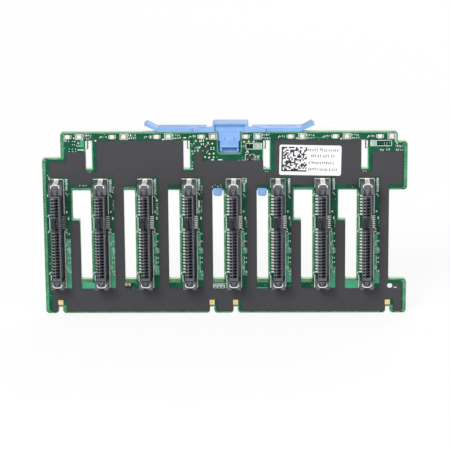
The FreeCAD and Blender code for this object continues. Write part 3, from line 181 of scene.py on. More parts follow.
# Each surface, after a note of what it is and gives the eye: dark and light colour, patches and grain in mm,
# lowest and highest roughness, relief, and what else it has. The edge and the specks are in mm as well.
looks = {
    # solder mask over a solid copper field: brighter and flatter in tone than on laminate
    "solderMaskOnCopper": ("#3fa178", "#53b48c", 3, 0.5, 0.3, 0.42, 0.08, {"shine": 0.3}),
    # the same mask over the strip along the edges: paler, with a slow drift
    "solderMaskOnGroundStrip": ("#40855c", "#5fa076", 2.2, 0.4, 0.32, 0.5, 0.1, {"shine": 0.3}),
    # mask closed over a plated hole: a small pale dot
    "solderMaskOverVia": ("#62a37c", "#7cb792", 1.2, 0.3, 0.3, 0.45, 0.1, {"shine": 0.3}),
    # mask run thin over a milled edge: the laminate below warms it to ochre
    "solderMaskThinOverFr4": ("#4d7a4a", "#7d9064", 1.6, 0.3, 0.4, 0.55, 0.12, {"shine": 0.3}),
    # extruded polycarbonate film, matt coated: even charcoal with a rare speck of lint
    "polycarbonateFilm": ("#434245", "#47464a", 22, 0.25, 0.5, 0.62, 0.05,
        {"shine": 0.2, "specks": {"spacing": 16, "size": 0.22, "colour": "#77767c"}}),
    # coated label paper: off-white with a faint fibre cloud
    "coatedLabelPaper": ("#f2f2f4", "#fbfbfc", 4, 0.15, 0.45, 0.6, 0.05),
    # thermal transfer print: dense and flat, nearly black
    "thermalPrint": ("#1c1c20", "#2e2e33", 0.6, 0.15, 0.5, 0.6, 0.02),
    # the same print rubbed thin: broken mid-grey
    "thermalPrintWorn": ("#56565c", "#7c7c82", 0.5, 0.15, 0.5, 0.6, 0.02),
    # screen-printed epoxy ink: matt white, slightly broken up by the mask below
    "epoxyInk": ("#d3ddd6", "#fafcf9", 0.6, 0.2, 0.5, 0.65, 0.1),
    # the same ink where little came through the screen: the green shows through
    "epoxyInkThin": ("#7fae97", "#b9d2c5", 0.5, 0.2, 0.5, 0.65, 0.1),
    # moulded liquid-crystal polymer: slate-grey satin with swirl marks, and painted shade that darkens it
    # towards its root on the board
    "mouldedLcp": ("#54575c", "#686c72", 2.4, 0.12, 0.36, 0.52, 0.18, {
        "edge": 0.09, "shine": 0.35,
        "deep": {"near": -7.0, "far": -2.0, "share": 0.65, "colour": "#1e1f22"}}),
    # near black: painted shade at the bottom of narrow windows and in openings and gaps, and also the dark
    # bare pads and the chips' corner dots
    "mouldedLcpInShade": ("#0c0b0e", "#151417", 1, 0.2, 0.7, 0.8, 0.1, {"shine": 0.1}),
    # painted highlight: the resin drawn lighter on its thin webs between the windows, where they catch the
    # light
    "mouldedLcpEdge": ("#7c8087", "#959aa1", 1.2, 0.12, 0.3, 0.42, 0.1),
    # painted sheen: the resin drawn lighter on its rims, where they catch the light
    "mouldedLcpWorn": ("#5c5f67", "#6e7179", 1.2, 0.12, 0.34, 0.46, 0.1),
    # its ribs inside the slot, half in shade
    "mouldedLcpRib": ("#45454c", "#56565e", 1, 0.15, 0.45, 0.6, 0.1, {"shine": 0.3}),
    # its foot on the board, on the side that the light reaches
    "mouldedLcpFoot": ("#55595e", "#64686d", 1.5, 0.15, 0.45, 0.6, 0.1, {"shine": 0.3}),
    # its floor deep in the slot, where little light comes
    "mouldedLcpDeep": ("#33333a", "#404047", 1, 0.2, 0.6, 0.7, 0.1, {"shine": 0.2}),
    # painted shade: tin plate drawn dull grey, as in the shade of a housing
    "satinTinPlateDull": ("#6f7670", "#8d958e", 0.8, 0.1, 0.4, 0.55, 0.12, {"metal": 0.3, "edge": 0.04}),
    # painted shade: tin plate drawn mid silver, as half in shade
    "satinTinPlateWorn": ("#a2a7a1", "#bdc2bc", 0.8, 0.1, 0.4, 0.55, 0.12, {"metal": 0.3, "edge": 0.04}),
    # satin tin plate: soft silver-white, slightly mottled
    "satinTinPlate": ("#e6e6e0", "#fdfdf8", 0.8, 0.1, 0.34, 0.48, 0.12, {"metal": 0.3, "edge": 0.04}),
    # stamped phosphor bronze, tinned: bright white, with painted shade on its upward faces
    "tinnedPhosphorBronze": ("#f6f5ec", "#fffef8", 0.7, 0.1, 0.4, 0.55, 0.12,
        {"metal": 0.1, "edge": 0.05, "top": {"share": 0.1, "colour": "#b9b6a4"}}),
    # reflowed solder: smooth uneven silver with small highlights
    "reflowedSolder": ("#a9aaa8", "#d6d6d2", 0.5, 0.12, 0.2, 0.36, 0.2, {"metal": 0.85}),
    # bronze springs with a flash of gold, in painted shade: drawn dark warm brown as they lie deep in the
    # slot
    "goldFlashedBronze": ("#3f352a", "#6a573c", 0.6, 0.1, 0.35, 0.5, 0.1, {"metal": 0.6}),
    # immersion gold over nickel: warm yellow satin
    "immersionGold": ("#f0ca80", "#ffe4a6", 0.9, 0.12, 0.34, 0.5, 0.15, {"metal": 0.35}),
    # the same gold on small test points: paler, as the nickel shows through
    "immersionGoldSmall": ("#e2d6a0", "#f7f0c4", 0.9, 0.12, 0.34, 0.5, 0.15, {"metal": 0.2}),
    # moulded polyacetal: waxy light blue, with soft edges that catch the light; painted shade darkens its
    # upward faces and its parts near the board's face
    "mouldedPolyacetal": ("#80ace5", "#8fb9ed", 6, 0.2, 0.34, 0.46, 0.08, {
        "edge": 0.22, "deep": {"near": -1.7, "far": -1.1, "share": 0.15, "colour": "#6c98d6"},
        "top": {"share": 0.7, "colour": "#6f97d0"},
        "fixed": {"Subsurface Weight": 0.06, "Subsurface Scale": 0.8 * mm}}),
    # painted shade: the same polyacetal a shade darker, for grooves, seams and pin marks
    "mouldedPolyacetalShade": ("#4a6ea6", "#5a80b8", 2, 0.2, 0.5, 0.6, 0.2),
    # the same on the ramp below the lip, which looks down and stays in shade
    "mouldedPolyacetalRamp": ("#4f80bc", "#5d8fcb", 2, 0.2, 0.4, 0.5, 0.1),
    # routed glass-fibre laminate: dull grey-brown
    "bareLaminate": ("#6d6257", "#857a6b", 0.8, 0.15, 0.6, 0.75, 0.2),
    # cast clear epoxy: a creamy glow under a glossy dome
    "clearEpoxyLens": ("#e9e2c6", "#fbf7e4", 0.7, 0.3, 0.18, 0.3, 0.05,
        {"fixed": {"Subsurface Weight": 0.25, "Subsurface Scale": 0.4 * mm, "Coat Weight": 0.4}}),
    # moulded polyphthalamide: opaque soft white
    "whitePolyphthalamide": ("#c9cdc6", "#eceee8", 0.6, 0.15, 0.4, 0.55, 0.1, {"edge": 0.05}),
    # transfer-moulded epoxy: black with a fine sandblasted grain
    "mouldedEpoxy": ("#1d1d1f", "#2a2a2d", 3, 0.1, 0.5, 0.66, 0.3, {"edge": 0.1}),
    # the same epoxy on very small cases, which the light turns dark grey
    "mouldedEpoxyGrey": ("#363639", "#434347", 1, 0.1, 0.5, 0.66, 0.2, {"edge": 0.08, "shine": 0.3}),
    # painted shade: the polyacetal drawn navy deep in the gaps beside the tongue
    "mouldedPolyacetalGapShade": ("#1d3560", "#2a4677", 1.5, 0.2, 0.5, 0.6, 0.1, {"shine": 0.2}),
    # moulded nylon: ivory, a little translucent
    "mouldedNylon": ("#d8d3c2", "#e8e4d6", 5, 0.2, 0.42, 0.55, 0.12,
        {"edge": 0.12, "fixed": {"Subsurface Weight": 0.08, "Subsurface Scale": 0.6 * mm}}),
    # rolled steel, nickel plated: cool and reflective
    "nickelPlatedSteel": ("#a3a5a8", "#bfc0c2", 3, 0.12, 0.22, 0.36, 0.06, {"metal": 1.0, "edge": 0.08}),
    # drawn aluminium: bright, with a round soft rim
    "drawnAluminium": ("#b6b8ba", "#d3d4d6", 1.5, 0.15, 0.24, 0.38, 0.05, {"metal": 1.0, "edge": 0.15}),
    # pressed ferrite: rough charcoal
    "pressedFerrite": ("#2b2b2d", "#3a3a3c", 0.7, 0.12, 0.6, 0.8, 0.5, {"edge": 0.1}),
    # glazed alumina: smooth black
    "glazedAlumina": ("#1a1a1d", "#2c2c30", 0.5, 0.1, 0.3, 0.45, 0.1),
    # fired titanate ceramic of the small chips: dark tan
    "firedTitanateDark": ("#5d4a3c", "#7c6350", 0.5, 0.1, 0.4, 0.55, 0.15),
    # fired titanate ceramic of the larger chip: warm tan
    "firedTitanate": ("#8d6a46", "#b08a60", 0.5, 0.1, 0.4, 0.55, 0.15),
}
mats = {"solderMaskOnFr4": solderMask()}
for name, look in looks.items():
    mats[name] = surface(name, *look)
print("materials made")

# shapes


def newShape():
    return {"verts": [], "faces": []}


# A block from its eight corners: four below, four above, both seen from above against the clock.
def addBlock(shape, corners):
    base = len(shape["verts"])
    for x, y, z in corners:
        shape["verts"].append((x * mm, y * mm, z * mm))
    for face in ((0, 3, 2, 1), (4, 5, 6, 7), (0, 1, 5, 4), (1, 2, 6, 5), (2, 3, 7, 6), (3, 0, 4, 7)):
        shape["faces"].append([base + i for i in face])


def addBox(shape, x0, x1, y0, y1, z0, z1):
    addBlock(shape, ((x0, y0, z0), (x1, y0, z0), (x1, y1, z0), (x0, y1, z0),
                     (x0, y0, z1), (x1, y0, z1), (x1, y1, z1), (x0, y1, z1)))


# An outline in X and Z, pushed from one depth to another. A smaller scale makes the outer face taper.
def addPlate(shape, outline, near, far, taper=1.0):
    base = len(shape["verts"])
    count = len(outline)
    cx = sum(p[0] for p in outline) / count
    cz = sum(p[1] for p in outline) / count
    for x, z in outline:
        shape["verts"].append((x * mm, near * mm, z * mm))
    for x, z in outline:
        shape["verts"].append(((cx + (x - cx) * taper) * mm, far * mm, (cz + (z - cz) * taper) * mm))
    shape["faces"].append([base + i for i in range(count)])
    shape["faces"].append([base + count + i for i in reversed(range(count))])
    for i in range(count):
        j = (i + 1) % count
        shape["faces"].append([base + i, base + count + i, base + count + j, base + j])


def addDot(shape, x, z, radius, near, far, sides=10, taper=0.85):
    outline = [(x + radius * math.cos(a), z + radius * math.sin(a))
               for a in (2 * math.pi * i / sides for i in range(sides))]
    addPlate(shape, outline, near, far, taper)


# A flat stroke of constant width along a path in X and Z.
def addStroke(shape, path, width, near, far):
    for (xa, za), (xb, zb) in zip(path, path[1:]):
        run = math.hypot(xb - xa, zb - za) or 1.0
        ux = (xb - xa) / run * width / 2
        uz = (zb - za) / run * width / 2
        addPlate(shape, [(xa - ux + uz, za - uz - ux), (xb + ux + uz, zb + uz - ux),
                         (xb + ux - uz, zb + uz + ux), (xa - ux - uz, za - uz + ux)], near, far)


def addFrame(shape, x0, x1, z0, z1, width, near, far):
    addStroke(shape, [(x0, z0), (x1, z0), (x1, z1), (x0, z1), (x0, z0)], width, near, far)


def addObject(name, data):
    thing = bpy.data.objects.new(name, data)
    bpy.context.scene.collection.objects.link(thing)
    return thing


def makePiece(name, shape, material):
    mesh = bpy.data.meshes.new(name)
    mesh.from_pydata(shape["verts"], [], shape["faces"])
    mesh.validate()
    mesh.update()
    piece = addObject(name, mesh)
    mesh.materials.append(mats[material])
    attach(piece, "root")
    return piece


# The separate solids of a CAD node, each as its lowest and highest corner in mm.
def islands(node):
    mesh = nodes[node].data
    places = {}
    parent = {}

    def root(i):
        while parent[i] != i:
            parent[i] = parent[parent[i]]
            i = parent[i]
        return i

    keys = []
    for vertex in mesh.vertices:
        key = tuple(round(c * 1e6) for c in vertex.co)  # in thousandths of a mm
        parent.setdefault(key, key)
        keys.append(key)
    for polygon in mesh.polygons:
        first = root(keys[polygon.vertices[0]])
        for i in polygon.vertices[1:]:
            parent[root(keys[i])] = first
    for key in parent:
        places.setdefault(root(key), []).append(key)
    boxes = []
    for points in places.values():
        low = [min(p[i] for p in points) / 1000 for i in range(3)]
        high = [max(p[i] for p in points) / 1000 for i in range(3)]
        boxes.append((low, high))
    return sorted(boxes)


# the board and the pale strips round it
board = {
    "front": -1.2, "rear": 1.2, "filmFace": -1.4, "firstBay": -67.1, "pitch": 17.78, "bays": 8,
    "hooks": [-54.22, -15.09, 16.75, 55.88], "hookSides": [-1, 1, -1, 1],
    "inkDepth": 0.045, "thinDepth": 0.02,
}
bays = [board["firstBay"] + k * board["pitch"] for k in range(board["bays"])]
front = board["front"]
rear = board["rear"]
inkFace = front - board["inkDepth"]
thin = board["thinDepth"]


# A thin level patch on the front of the board.
def addPatch(shape, x0, x1, z0, z1, depth=board["inkDepth"]):
    addBox(shape, x0, x1, front - depth, front, z0, z1)


# Rings of edges round the flat face of the board at one depth, as lists of (x, z) in mm.
def boardLoops(depth):
    mesh = nodes["board"].data
    corners = [tuple(round(c * 1e6) for c in vertex.co) for vertex in mesh.vertices]
    edges = {}
    for polygon in mesh.polygons:
        ring = [corners[i] for i in polygon.vertices]
        if all(abs(p[1] - depth * 1000) < 2 for p in ring):
            for a, b in zip(ring, ring[1:] + ring[:1]):
                edges[(a, b)] = True
    onward = {a: b for a, b in edges if (b, a) not in edges}
    loops = []
    while onward:
        start, here = onward.popitem()
        loop = [start]
        while here != start:
            loop.append(here)
            here = onward.pop(here)
        loops.append([(p[0] / 1000, p[2] / 1000) for p in loop])
    return loops


# Widths of the strips: on the board's two ends, on upright and level edges between them, and round the slots.
strips = {
    "side": 1.3, "inner": 0.5, "level": 0.55, "slot": 0.5, "slotLevel": 0.45, "lift": 0.012,
    "endsFrom": 60.0, "straight": 0.08, "shortest": 0.02, "cornerDepth": 0.016,
    "corner": [(-64.9, 74.95), (-63.2, 74.95), (-63.2, 75.58), (-64.3, 75.56), (-64.9, 75.3)],
}


# A band that follows one ring, wider on upright edges than on level ones.
def addBand(shape, loop, upright, level, near, far, outer, inside=None):
    area = sum(a[0] * b[1] - b[0] * a[1] for a, b in zip(loop, loop[1:] + loop[:1]))
    side = 1 if (area > 0) == outer else -1
    clean = [p for i, p in enumerate(loop) if math.dist(p, loop[i - 1]) > strips["shortest"]]
    lines = []
    for a, b in zip(clean, clean[1:] + clean[:1]):
        run = math.dist(a, b)
        nx = -(b[1] - a[1]) / run * side
        nz = (b[0] - a[0]) / run * side
        across = inside if inside and abs(a[0] + b[0]) < 2 * strips["endsFrom"] else upright
        width = across * abs(nx) + level * abs(nz)
        lines.append((nx, nz, nx * (a[0] + nx * width) + nz * (a[1] + nz * width), width))
    inner = []
    for i, p in enumerate(clean):
        n1x, n1z, d1, _ = lines[i - 1]
        n2x, n2z, d2, width = lines[i]
        turn = n1x * n2z - n1z * n2x
        if abs(turn) < strips["straight"]:
            inner.append((p[0] + n2x * width, p[1] + n2z * width))
        else:
            inner.append(((d1 * n2z - d2 * n1z) / turn, (n1x * d2 - n2x * d1) / turn))
    for i in range(len(clean)):
        j = (i + 1) % len(clean)
        addPlate(shape, [clean[i], clean[j], inner[j], inner[i]], near, far)


for face, name in ((front, "groundStripFront"), (rear, "groundStripRear")):
    skin = face + math.copysign(strips["lift"], face)
    strip = newShape()
    loops = boardLoops(face)
    outline = max(loops, key=lambda ring: max(p[0] for p in ring) - min(p[0] for p in ring))
    for loop in loops:
        if loop is outline:
            addBand(strip, loop, strips["side"], strips["level"], face, skin, True, strips["inner"])
        else:
            addBand(strip, loop, strips["slot"], strips["slotLevel"], face, skin, False)
    if face == front:  # wider at the corner over bay one
        addPlate(strip, strips["corner"], front, front - strips["cornerDepth"])
    makePiece(name, strip, "solderMaskOnGroundStrip")

# Above and below each air slot the mask runs thin in one line, with a lighter band beside it. Each patch is
# given by how far it starts and ends past the slot's edges.
rims = {
    "bandBelow": (0.1, -0.1, -1.1, -0.45), "lineBelow": (-0.2, 0.2, -1.5, -1.1),
    "bandBeside": (0.05, 0.9, 0.4, -0.4), "depth": 0.012, "sideDepth": 0.014,
    "lineAbove": (0.2, -0.2, 1.15, 1.4), "withLineAbove": (1,),
    "bandAbove": (-0.4, 0.4, 0.1, 0.95), "withBandAbove": (0, 1, 5), "tall": 25, "wide": 20,
}
lips = newShape()
lipBands = newShape()
slots = []
for loop in boardLoops(front):
    xs = [p[0] for p in loop]
    zs = [p[1] for p in loop]
    if max(zs) - min(zs) > rims["tall"] and max(xs) - min(xs) < rims["wide"]:
        slots.append((min(xs), max(xs), min(zs), max(zs)))


def addRim(shape, edges, kind, depth):
    addPatch(shape, *[edge + past for edge, past in zip(edges, rims[kind])], depth)


for k, (x0, x1, z0, z1) in enumerate(sorted(slots)):
    addRim(lipBands, (x0, x1, z0, z0), "bandBelow", rims["depth"])
    addRim(lips, (x0, x1, z0, z0), "lineBelow", rims["depth"])
    addRim(lipBands, (x1, x1, z0, z1), "bandBeside", rims["sideDepth"])
    if k in rims["withLineAbove"]:
        addRim(lips, (x0, x1, z1, z1), "lineAbove", rims["depth"])
    if k in rims["withBandAbove"]:
        addRim(lipBands, (x0, x1, z1, z1), "bandAbove", rims["sideDepth"])
makePiece("slotLipLines", lips, "solderMaskThinOverFr4")
makePiece("slotLipBands", lipBands, "solderMaskOnGroundStrip")
print("ground strips laid")

# via stitching down the middle of both side strips and along the top, where a strip runs
stitching = {
    "pitch": 1.27, "depth": 0.03,
    "side": 72.1, "low": 1.6, "radius": 0.26, "left": ((0, 63.5),), "right": ((0, 14), (52.5, 64)),
    "top": 75.15, "first": -64.6, "topRadius": 0.2, "runs": ((-70, -3.4), (7.4, 68.2)),
}
stitch = newShape()


def stitches(start, runs):
    steps = [start + i * stitching["pitch"] for i in range(104)]
    return [step for step in steps if any(low < step < high for low, high in runs)]


for x, runs in ((-stitching["side"], stitching["left"]), (stitching["side"], stitching["right"])):
    for z in stitches(stitching["low"], runs):
        addDot(stitch, x, z, stitching["radius"], front, front - stitching["depth"], 8)
for x in stitches(stitching["first"], stitching["runs"]):
    addDot(stitch, x, stitching["top"], stitching["topRadius"], front, front - stitching["depth"], 8)
makePiece("stitchingVias", stitch, "solderMaskOverVia")

# solid copper under the mask beside each connector, and the bare band below some air slots
pours = {
    "start": 2.75, "wide": 4.95, "narrow": 3.95, "gaps": (24.2, 24.8, 29.0, 29.6),
    # how low and high each one reaches, and up to where it is wide
    "beside": [(10.5, 31.4, 31.4), (10.5, 33.0, 33.0), (16.1, 33.4, 20.0), (13.9, 33.3, 17.4),
               (15.8, 33.7, 17.8), (13.0, 33.2, 19.0), (10.5, 33.6, 19.5), (12.4, 33.1, 18.2)],
    "below": [(-58.2, -52.0, 10.4, 12.9), (47.8, 53.7, 10.4, 13.7), (12.1, 17.0, 10.4, 10.8)],
    "other": [(-57.6, -56.0, 69.5, 72.3)],
    "trace": [(33.0, 72.7), (33.6, 73.1), (40.7, 73.1), (41.3, 72.7)], "traceWidth": 0.18,
}
copper = newShape()
for middle, (low, high, wideTo) in zip(bays, pours["beside"]):
    addPatch(copper, middle + pours["start"], middle + pours["wide"], low, wideTo, thin)
    if wideTo < high:
        steps = (wideTo, *pours["gaps"], high)
        for foot, head in zip(steps[::2], steps[1::2]):
            addPatch(copper, middle + pours["start"], middle + pours["narrow"], foot, head, thin)
for x0, x1, z0, z1 in pours["below"] + pours["other"]:
    addPatch(copper, x0, x1, z0, z1, thin)
addStroke(copper, pours["trace"], pours["traceWidth"], front, front - thin)
makePiece("copperPours", copper, "solderMaskOnCopper")

# screen print: connector outlines, pin marks and rows of small marks
ink = newShape()
dimInk = newShape()
chance = random.Random(41)
printed = {"line": 0.3, "cell": 0.85, "stroke": 0.25}


# A row of broken strokes in place of lettering, three to each cell. Upright rows read downwards.
def addMarks(shape, x, z, count, height, upright=False, root=front, face=inkFace):
    step = printed["cell"]
    stroke = printed["stroke"]
    for i in range(count):
        for _ in range(3):
            kind = chance.random()
            along = i * step
            a = chance.uniform(0.05, 0.4) * step
            b = chance.uniform(0.1, 0.7) * height
            if kind < 0.45:
                w, h = stroke, chance.uniform(0.5, 1.0) * height
                b = 0.0
            elif kind < 0.8:
                w, h = chance.uniform(0.35, 0.6), stroke
            else:
                w, h = stroke * 1.4, stroke * 1.4
            if upright:
                addBox(shape, x + b, x + b + h, face, root, z - along - a - w, z - along - a)
            else:
                addBox(shape, x + along + a, x + along + a + w, face, root, z + b, z + b + h)


def addLine(shape, path, width=printed["line"]):
    addStroke(shape, path, width, front, inkFace)


def addDots(shape, places, radius):
    for x, z in places:
        addDot(shape, x, z, radius, front, inkFace, 8)


every = range(board["bays"])
bayPrint = {
    "left": -3.45, "right": 2.5, "top": 56.25, "low": 10.7, "ticks": (49.9, 41.3, 34.7, 17.2),
    "tickWidth": 0.24, "designators": (3.1, 3.0, 3.1, 2.9, 3.25, 3.5, 3.6, 3.35),
    # rows that read downwards: in which bays, ink, distance from the middle, level, cells and height
    "rows": (
        ((1, 3), ink, 4.1, 53.6, 4, 0.8), ((1, 3), dimInk, 4.2, 47.6, 5, 0.6), ((2,), ink, 3.8, 46.4, 6, 1.0),
        ((3,), ink, 4.1, 45.6, 4, 0.6), ((4,), ink, 3.0, 56.7, 2, 1.9),
        ((4, 5, 6, 7), dimInk, 4.3, 39.4, 4, 0.5),
        (every, ink, 3.0, 30.3, 2, 1.0), (every, ink, 3.0, 19.6, 2, 1.0), (every, ink, 3.2, 27.4, 1, 0.8),
        ((0, 2, 4, 6), ink, 4.0, 17.6, 1, 0.8), ((1, 3, 5, 7), ink, 4.0, 16.6, 1, 0.8)),
    # blocks: in which bays, ink, from, to, low and high
    "blocks": (
        (every, ink, 3.2, 3.8, 42.3, 43.0), ((3,), ink, 3.05, 3.75, 44.4, 47.4),
        ((3,), dimInk, 2.7, 3.5, 41.7, 44.2), (every, ink, 2.9, 3.45, 35.0, 35.55),
        (every, ink, 2.9, 3.45, 33.9, 34.45), (every, ink, 3.9, 4.4, 39.4, 40.5)),
    "bracket": ((4.0, 27.6), (4.8, 26.9), (4.8, 25.8), (4.1, 25.2)), "bracketWidth": 0.2,
}
for k, middle in enumerate(bays):
    left = middle + bayPrint["left"]
    right = middle + bayPrint["right"]
    top = bayPrint["top"]
    low = bayPrint["low"]
    frameInk = dimInk if k == 5 else ink
    addLine(frameInk, [(middle - 1.4, top), (middle - 3.3, top)])
    addLine(frameInk, [(middle + 0.6, top), (right, top), (right, 41.8)])
    addLine(ink, [(right, 34.6), (right, low), (middle + 1.9, low)])
    addLine(ink, [(left, 40.3), (left, 35.5)])
    addLine(ink, [(left, 15.9), (left, 13.4 if k < 4 else 10.8)])
    if k > 3:
        addLine(dimInk, [(left, top), (left, 52.7)])
    # ticks and pin marks on the tail side
    for level in bayPrint["ticks"]:
        addLine(ink, [(left - 0.75, level - 0.5), (left - 0.35, level + 0.25), (left + 0.1, level - 0.15)],
                bayPrint["tickWidth"])
        addPatch(ink, left - 0.85, left - 0.35, level - 0.8, level - 0.45)
    # designator of the connector, printed upwards over a thin ground, with a slanted stroke at its end
    across = middle + bayPrint["designators"][k]
    tall = 5.4 + (k % 3) * 0.7
    addMarks(ink, across, 56.5, int(tall / printed["cell"]), 1.05, True)
    addPatch(dimInk, across + 0.05, across + 0.9, 56.9 - tall, 56.3, thin)
    addLine(ink, [(across + 0.1, 56.1 - tall), (across + 0.9, 55.0 - tall)], 0.28)
    for where, shape, x, z, count, height in bayPrint["rows"]:
        if k in where:
            addMarks(shape, middle + x, z, count, height, True)
    for where, shape, x0, x1, z0, z1 in bayPrint["blocks"]:
        if k in where:
            addPatch(shape, middle + x0, middle + x1, z0, z1)
    addLine(ink, [(middle + x, z) for x, z in bayPrint["bracket"]], bayPrint["bracketWidth"])
addDot(ink, bays[2] + 4.25, 47.4, 0.5, front, inkFace)
addPatch(dimInk, bays[4] + 3.0, bays[4] + 4.8, 54.6, 56.6, thin)

# marks round the lamps along the top edge, left out where the latch is in the way
lampPrint = {
    "level": 73.7, "near": 4.57, "far": 9.24, "barHalf": 0.1, "bar": 1.4, "frameHalf": 1.5,
    "frameRise": 1.12, "frameLine": 0.11, "latch": 2.0, "latchHalf": 5.5,
}
lampLevel = lampPrint["level"]
for k, middle in enumerate(bays):
    near = middle + lampPrint["near"]
    far = middle + lampPrint["far"]
    if abs(far + 1.6 - lampPrint["latch"]) > lampPrint["latchHalf"] and k < 7:
        addMarks(ink, far + 1.6, lampLevel + 0.15, 4, 0.85)
        addMarks(ink, far + 1.8, lampLevel - 1.0, 4, 0.8)
    if k and k != 4:
        addLine(ink, [(near - 4.9, lampLevel - 0.5), (near - 4.4, lampLevel + 0.3),
                      (near - 4.0, lampLevel - 0.1)], 0.26)
        addMarks(ink, near - 3.6, lampLevel - 0.3, 2, 0.8)
    for side in (-1, 1):
        bar = near + side * lampPrint["bar"]
        half = lampPrint["barHalf"]
        addPatch(ink, bar - half, bar + half, lampLevel - 0.7, lampLevel + 0.8)
        half = lampPrint["frameHalf"]
        line = lampPrint["frameLine"]
        edge = lampLevel + side * lampPrint["frameRise"]
        addPatch(ink, far - half, far + half, edge - line, edge + line)
        addPatch(ink, far + side * half - line, far + side * half + line, lampLevel - 1.2, lampLevel + 1.2)

# marks along the top edge, beside the latch's recess and below the keyhole slots
edgePrint = {
    # level rows: place, cells and height
    "rows": (
        (-64.2, 72.0, 2, 0.9), (-59.2, 69.7, 2, 0.9),
        (-71.3, 57.4, 1, 0.8), (-70.7, 56.6, 1, 0.8), (-70.1, 56.0, 1, 0.8), (-69.3, 55.9, 1, 0.8),
        (-13.5, 70.4, 2, 0.75), (-13.3, 69.5, 1, 0.75), (-12.1, 68.8, 2, 0.75), (-13.2, 67.5, 2, 0.75),
        (-13.1, 66.3, 1, 0.75), (-13.2, 62.7, 1, 0.75), (-13.2, 61.4, 1, 0.75), (-13.3, 60.0, 1, 0.75),
        (-7.2, 69.9, 2, 0.75), (-6.9, 67.8, 1, 0.75), (8.3, 66.9, 2, 0.75), (5.0, 63.4, 4, 0.75),
        (12.4, 63.0, 2, 0.75), (6.6, 69.4, 2, 0.75),
        (67.9, 69.0, 4, 1.0), (68.1, 67.6, 4, 0.9), (62.0, 67.7, 2, 0.8), (64.4, 67.7, 2, 0.8)),
    # blocks: left, low, width and height
    "blocks": (
        (-9.3, 71.6, 0.32, 0.9), (-8.5, 71.6, 0.32, 0.9), (-9.3, 70.2, 0.32, 0.8), (-8.5, 70.2, 0.32, 0.8),
        (-5.2, 63.95, 1.0, 0.4), (-2.6, 63.95, 1.8, 0.4), (-16.3, 73.05, 1.1, 0.4),
        (-58.4, 53.5, 0.55, 0.35), (-56.9, 53.5, 0.55, 0.35), (-55.9, 53.5, 0.55, 0.35),
        (-5.1, 52.9, 0.4, 0.4), (-4.0, 53.6, 0.4, 0.4), (-2.9, 52.9, 0.4, 0.4), (-1.8, 53.6, 0.4, 0.4)),
    "brackets": ((-8.7, 68.1), (10.1, 65.1)),
    "cornerDots": [(x, z) for z in (68.7, 67.7) for x in (-62.0, -60.7, -59.4)] + [
        (-60.6, 71.9), (-59.8, 71.9), (-60.6, 70.5), (-59.8, 70.5), (-63.3, 71.9), (-62.2, 71.9)],
    "gridDots": [(12.3 + x * 0.75, 64.1 + z * 0.75) for x in range(3) for z in range(3)],
    "padDots": ((63.7, 70.9), (64.75, 70.9), (63.7, 70.3), (65.8, 70.9), (64.75, 70.3)),
    "keyholeDots": [(board["hooks"][k] + x, 59.2) for k in (0, 2, 3) for x in (-0.4, 0.5)],
    # frames round dark bare pads: from, to, low, high, and where the hatched block starts and ends
    "boxed": ((8.6, 14.9, 68.5, 70.9, 11.6, 14.7), (58.2, 66.6, 69.7, 71.9, 58.4, 60.7)),
    "hatchPitch": 0.48, "hatchWidth": 0.26,
}
for x, z, count, height in edgePrint["rows"]:
    addMarks(ink, x, z, count, height)
for x, z, width, height in edgePrint["blocks"]:
    addPatch(ink, x, x + width, z, z + height)
addPatch(dimInk, -58.6, -56.2, 68.0, 68.75)
for x, z in edgePrint["brackets"]:
    for side in (-1, 1):
        addPatch(ink, x + side * 1.75 - 0.1, x + side * 1.75 + 0.1, z - 1.3, z + 1.3)
        addPatch(ink, x + side * 1.2 - 0.5, x + side * 1.2 + 0.5, z + 1.25, z + 1.45)
for key, radius in (("cornerDots", 0.2), ("gridDots", 0.17), ("padDots", 0.16), ("keyholeDots", 0.24)):
    addDots(ink, edgePrint[key], radius)
for x0, x1, z0, z1, x, last in edgePrint["boxed"]:
    addFrame(ink, x0, x1, z0, z1, 0.19, front, inkFace)
    while x < last:
        addPatch(ink, x, x + edgePrint["hatchWidth"], z0 + 0.2, z1 - 0.2)
        x += edgePrint["hatchPitch"]
addLine(ink, [(-10.8, 67.9), (-10.3, 68.8), (-9.6, 69.3)], 0.32)
addLine(ink, [(68.3, 74.4), (68.3, 71.4), (69.0, 70.4)], 0.26)
# an eight-sided mark and two small ones, printed on the film near its lower right corner
filmFace = board["filmFace"]
addPlate(ink, [(65.9, 10.6), (66.9, 10.6), (67.4, 11.1), (67.4, 11.9), (66.9, 12.4), (65.9, 12.4),
               (65.4, 11.9), (65.4, 11.1)], filmFace, filmFace - thin)
for x in (68.0, 68.7):
    addBox(ink, x, x + 0.4, filmFace - thin, filmFace, 10.5, 11.0)
# hatched box below the fourth air slot
addFrame(dimInk, -5.2, -0.3, 10.5, 12.5, 0.2, front, inkFace)
addLine(ink, [(0.1, 12.5), (0.45, 12.5), (0.45, 10.5)], 0.22)
for i in range(10):
    addPatch(ink, -5.0 + i * 0.48, -4.76 + i * 0.48, 10.6 + (i % 3) * 0.3, 12.4 - (i % 2) * 0.4)
makePiece("screenPrint", ink, "epoxyInk")
makePiece("screenPrintThin", dimInk, "epoxyInkThin")

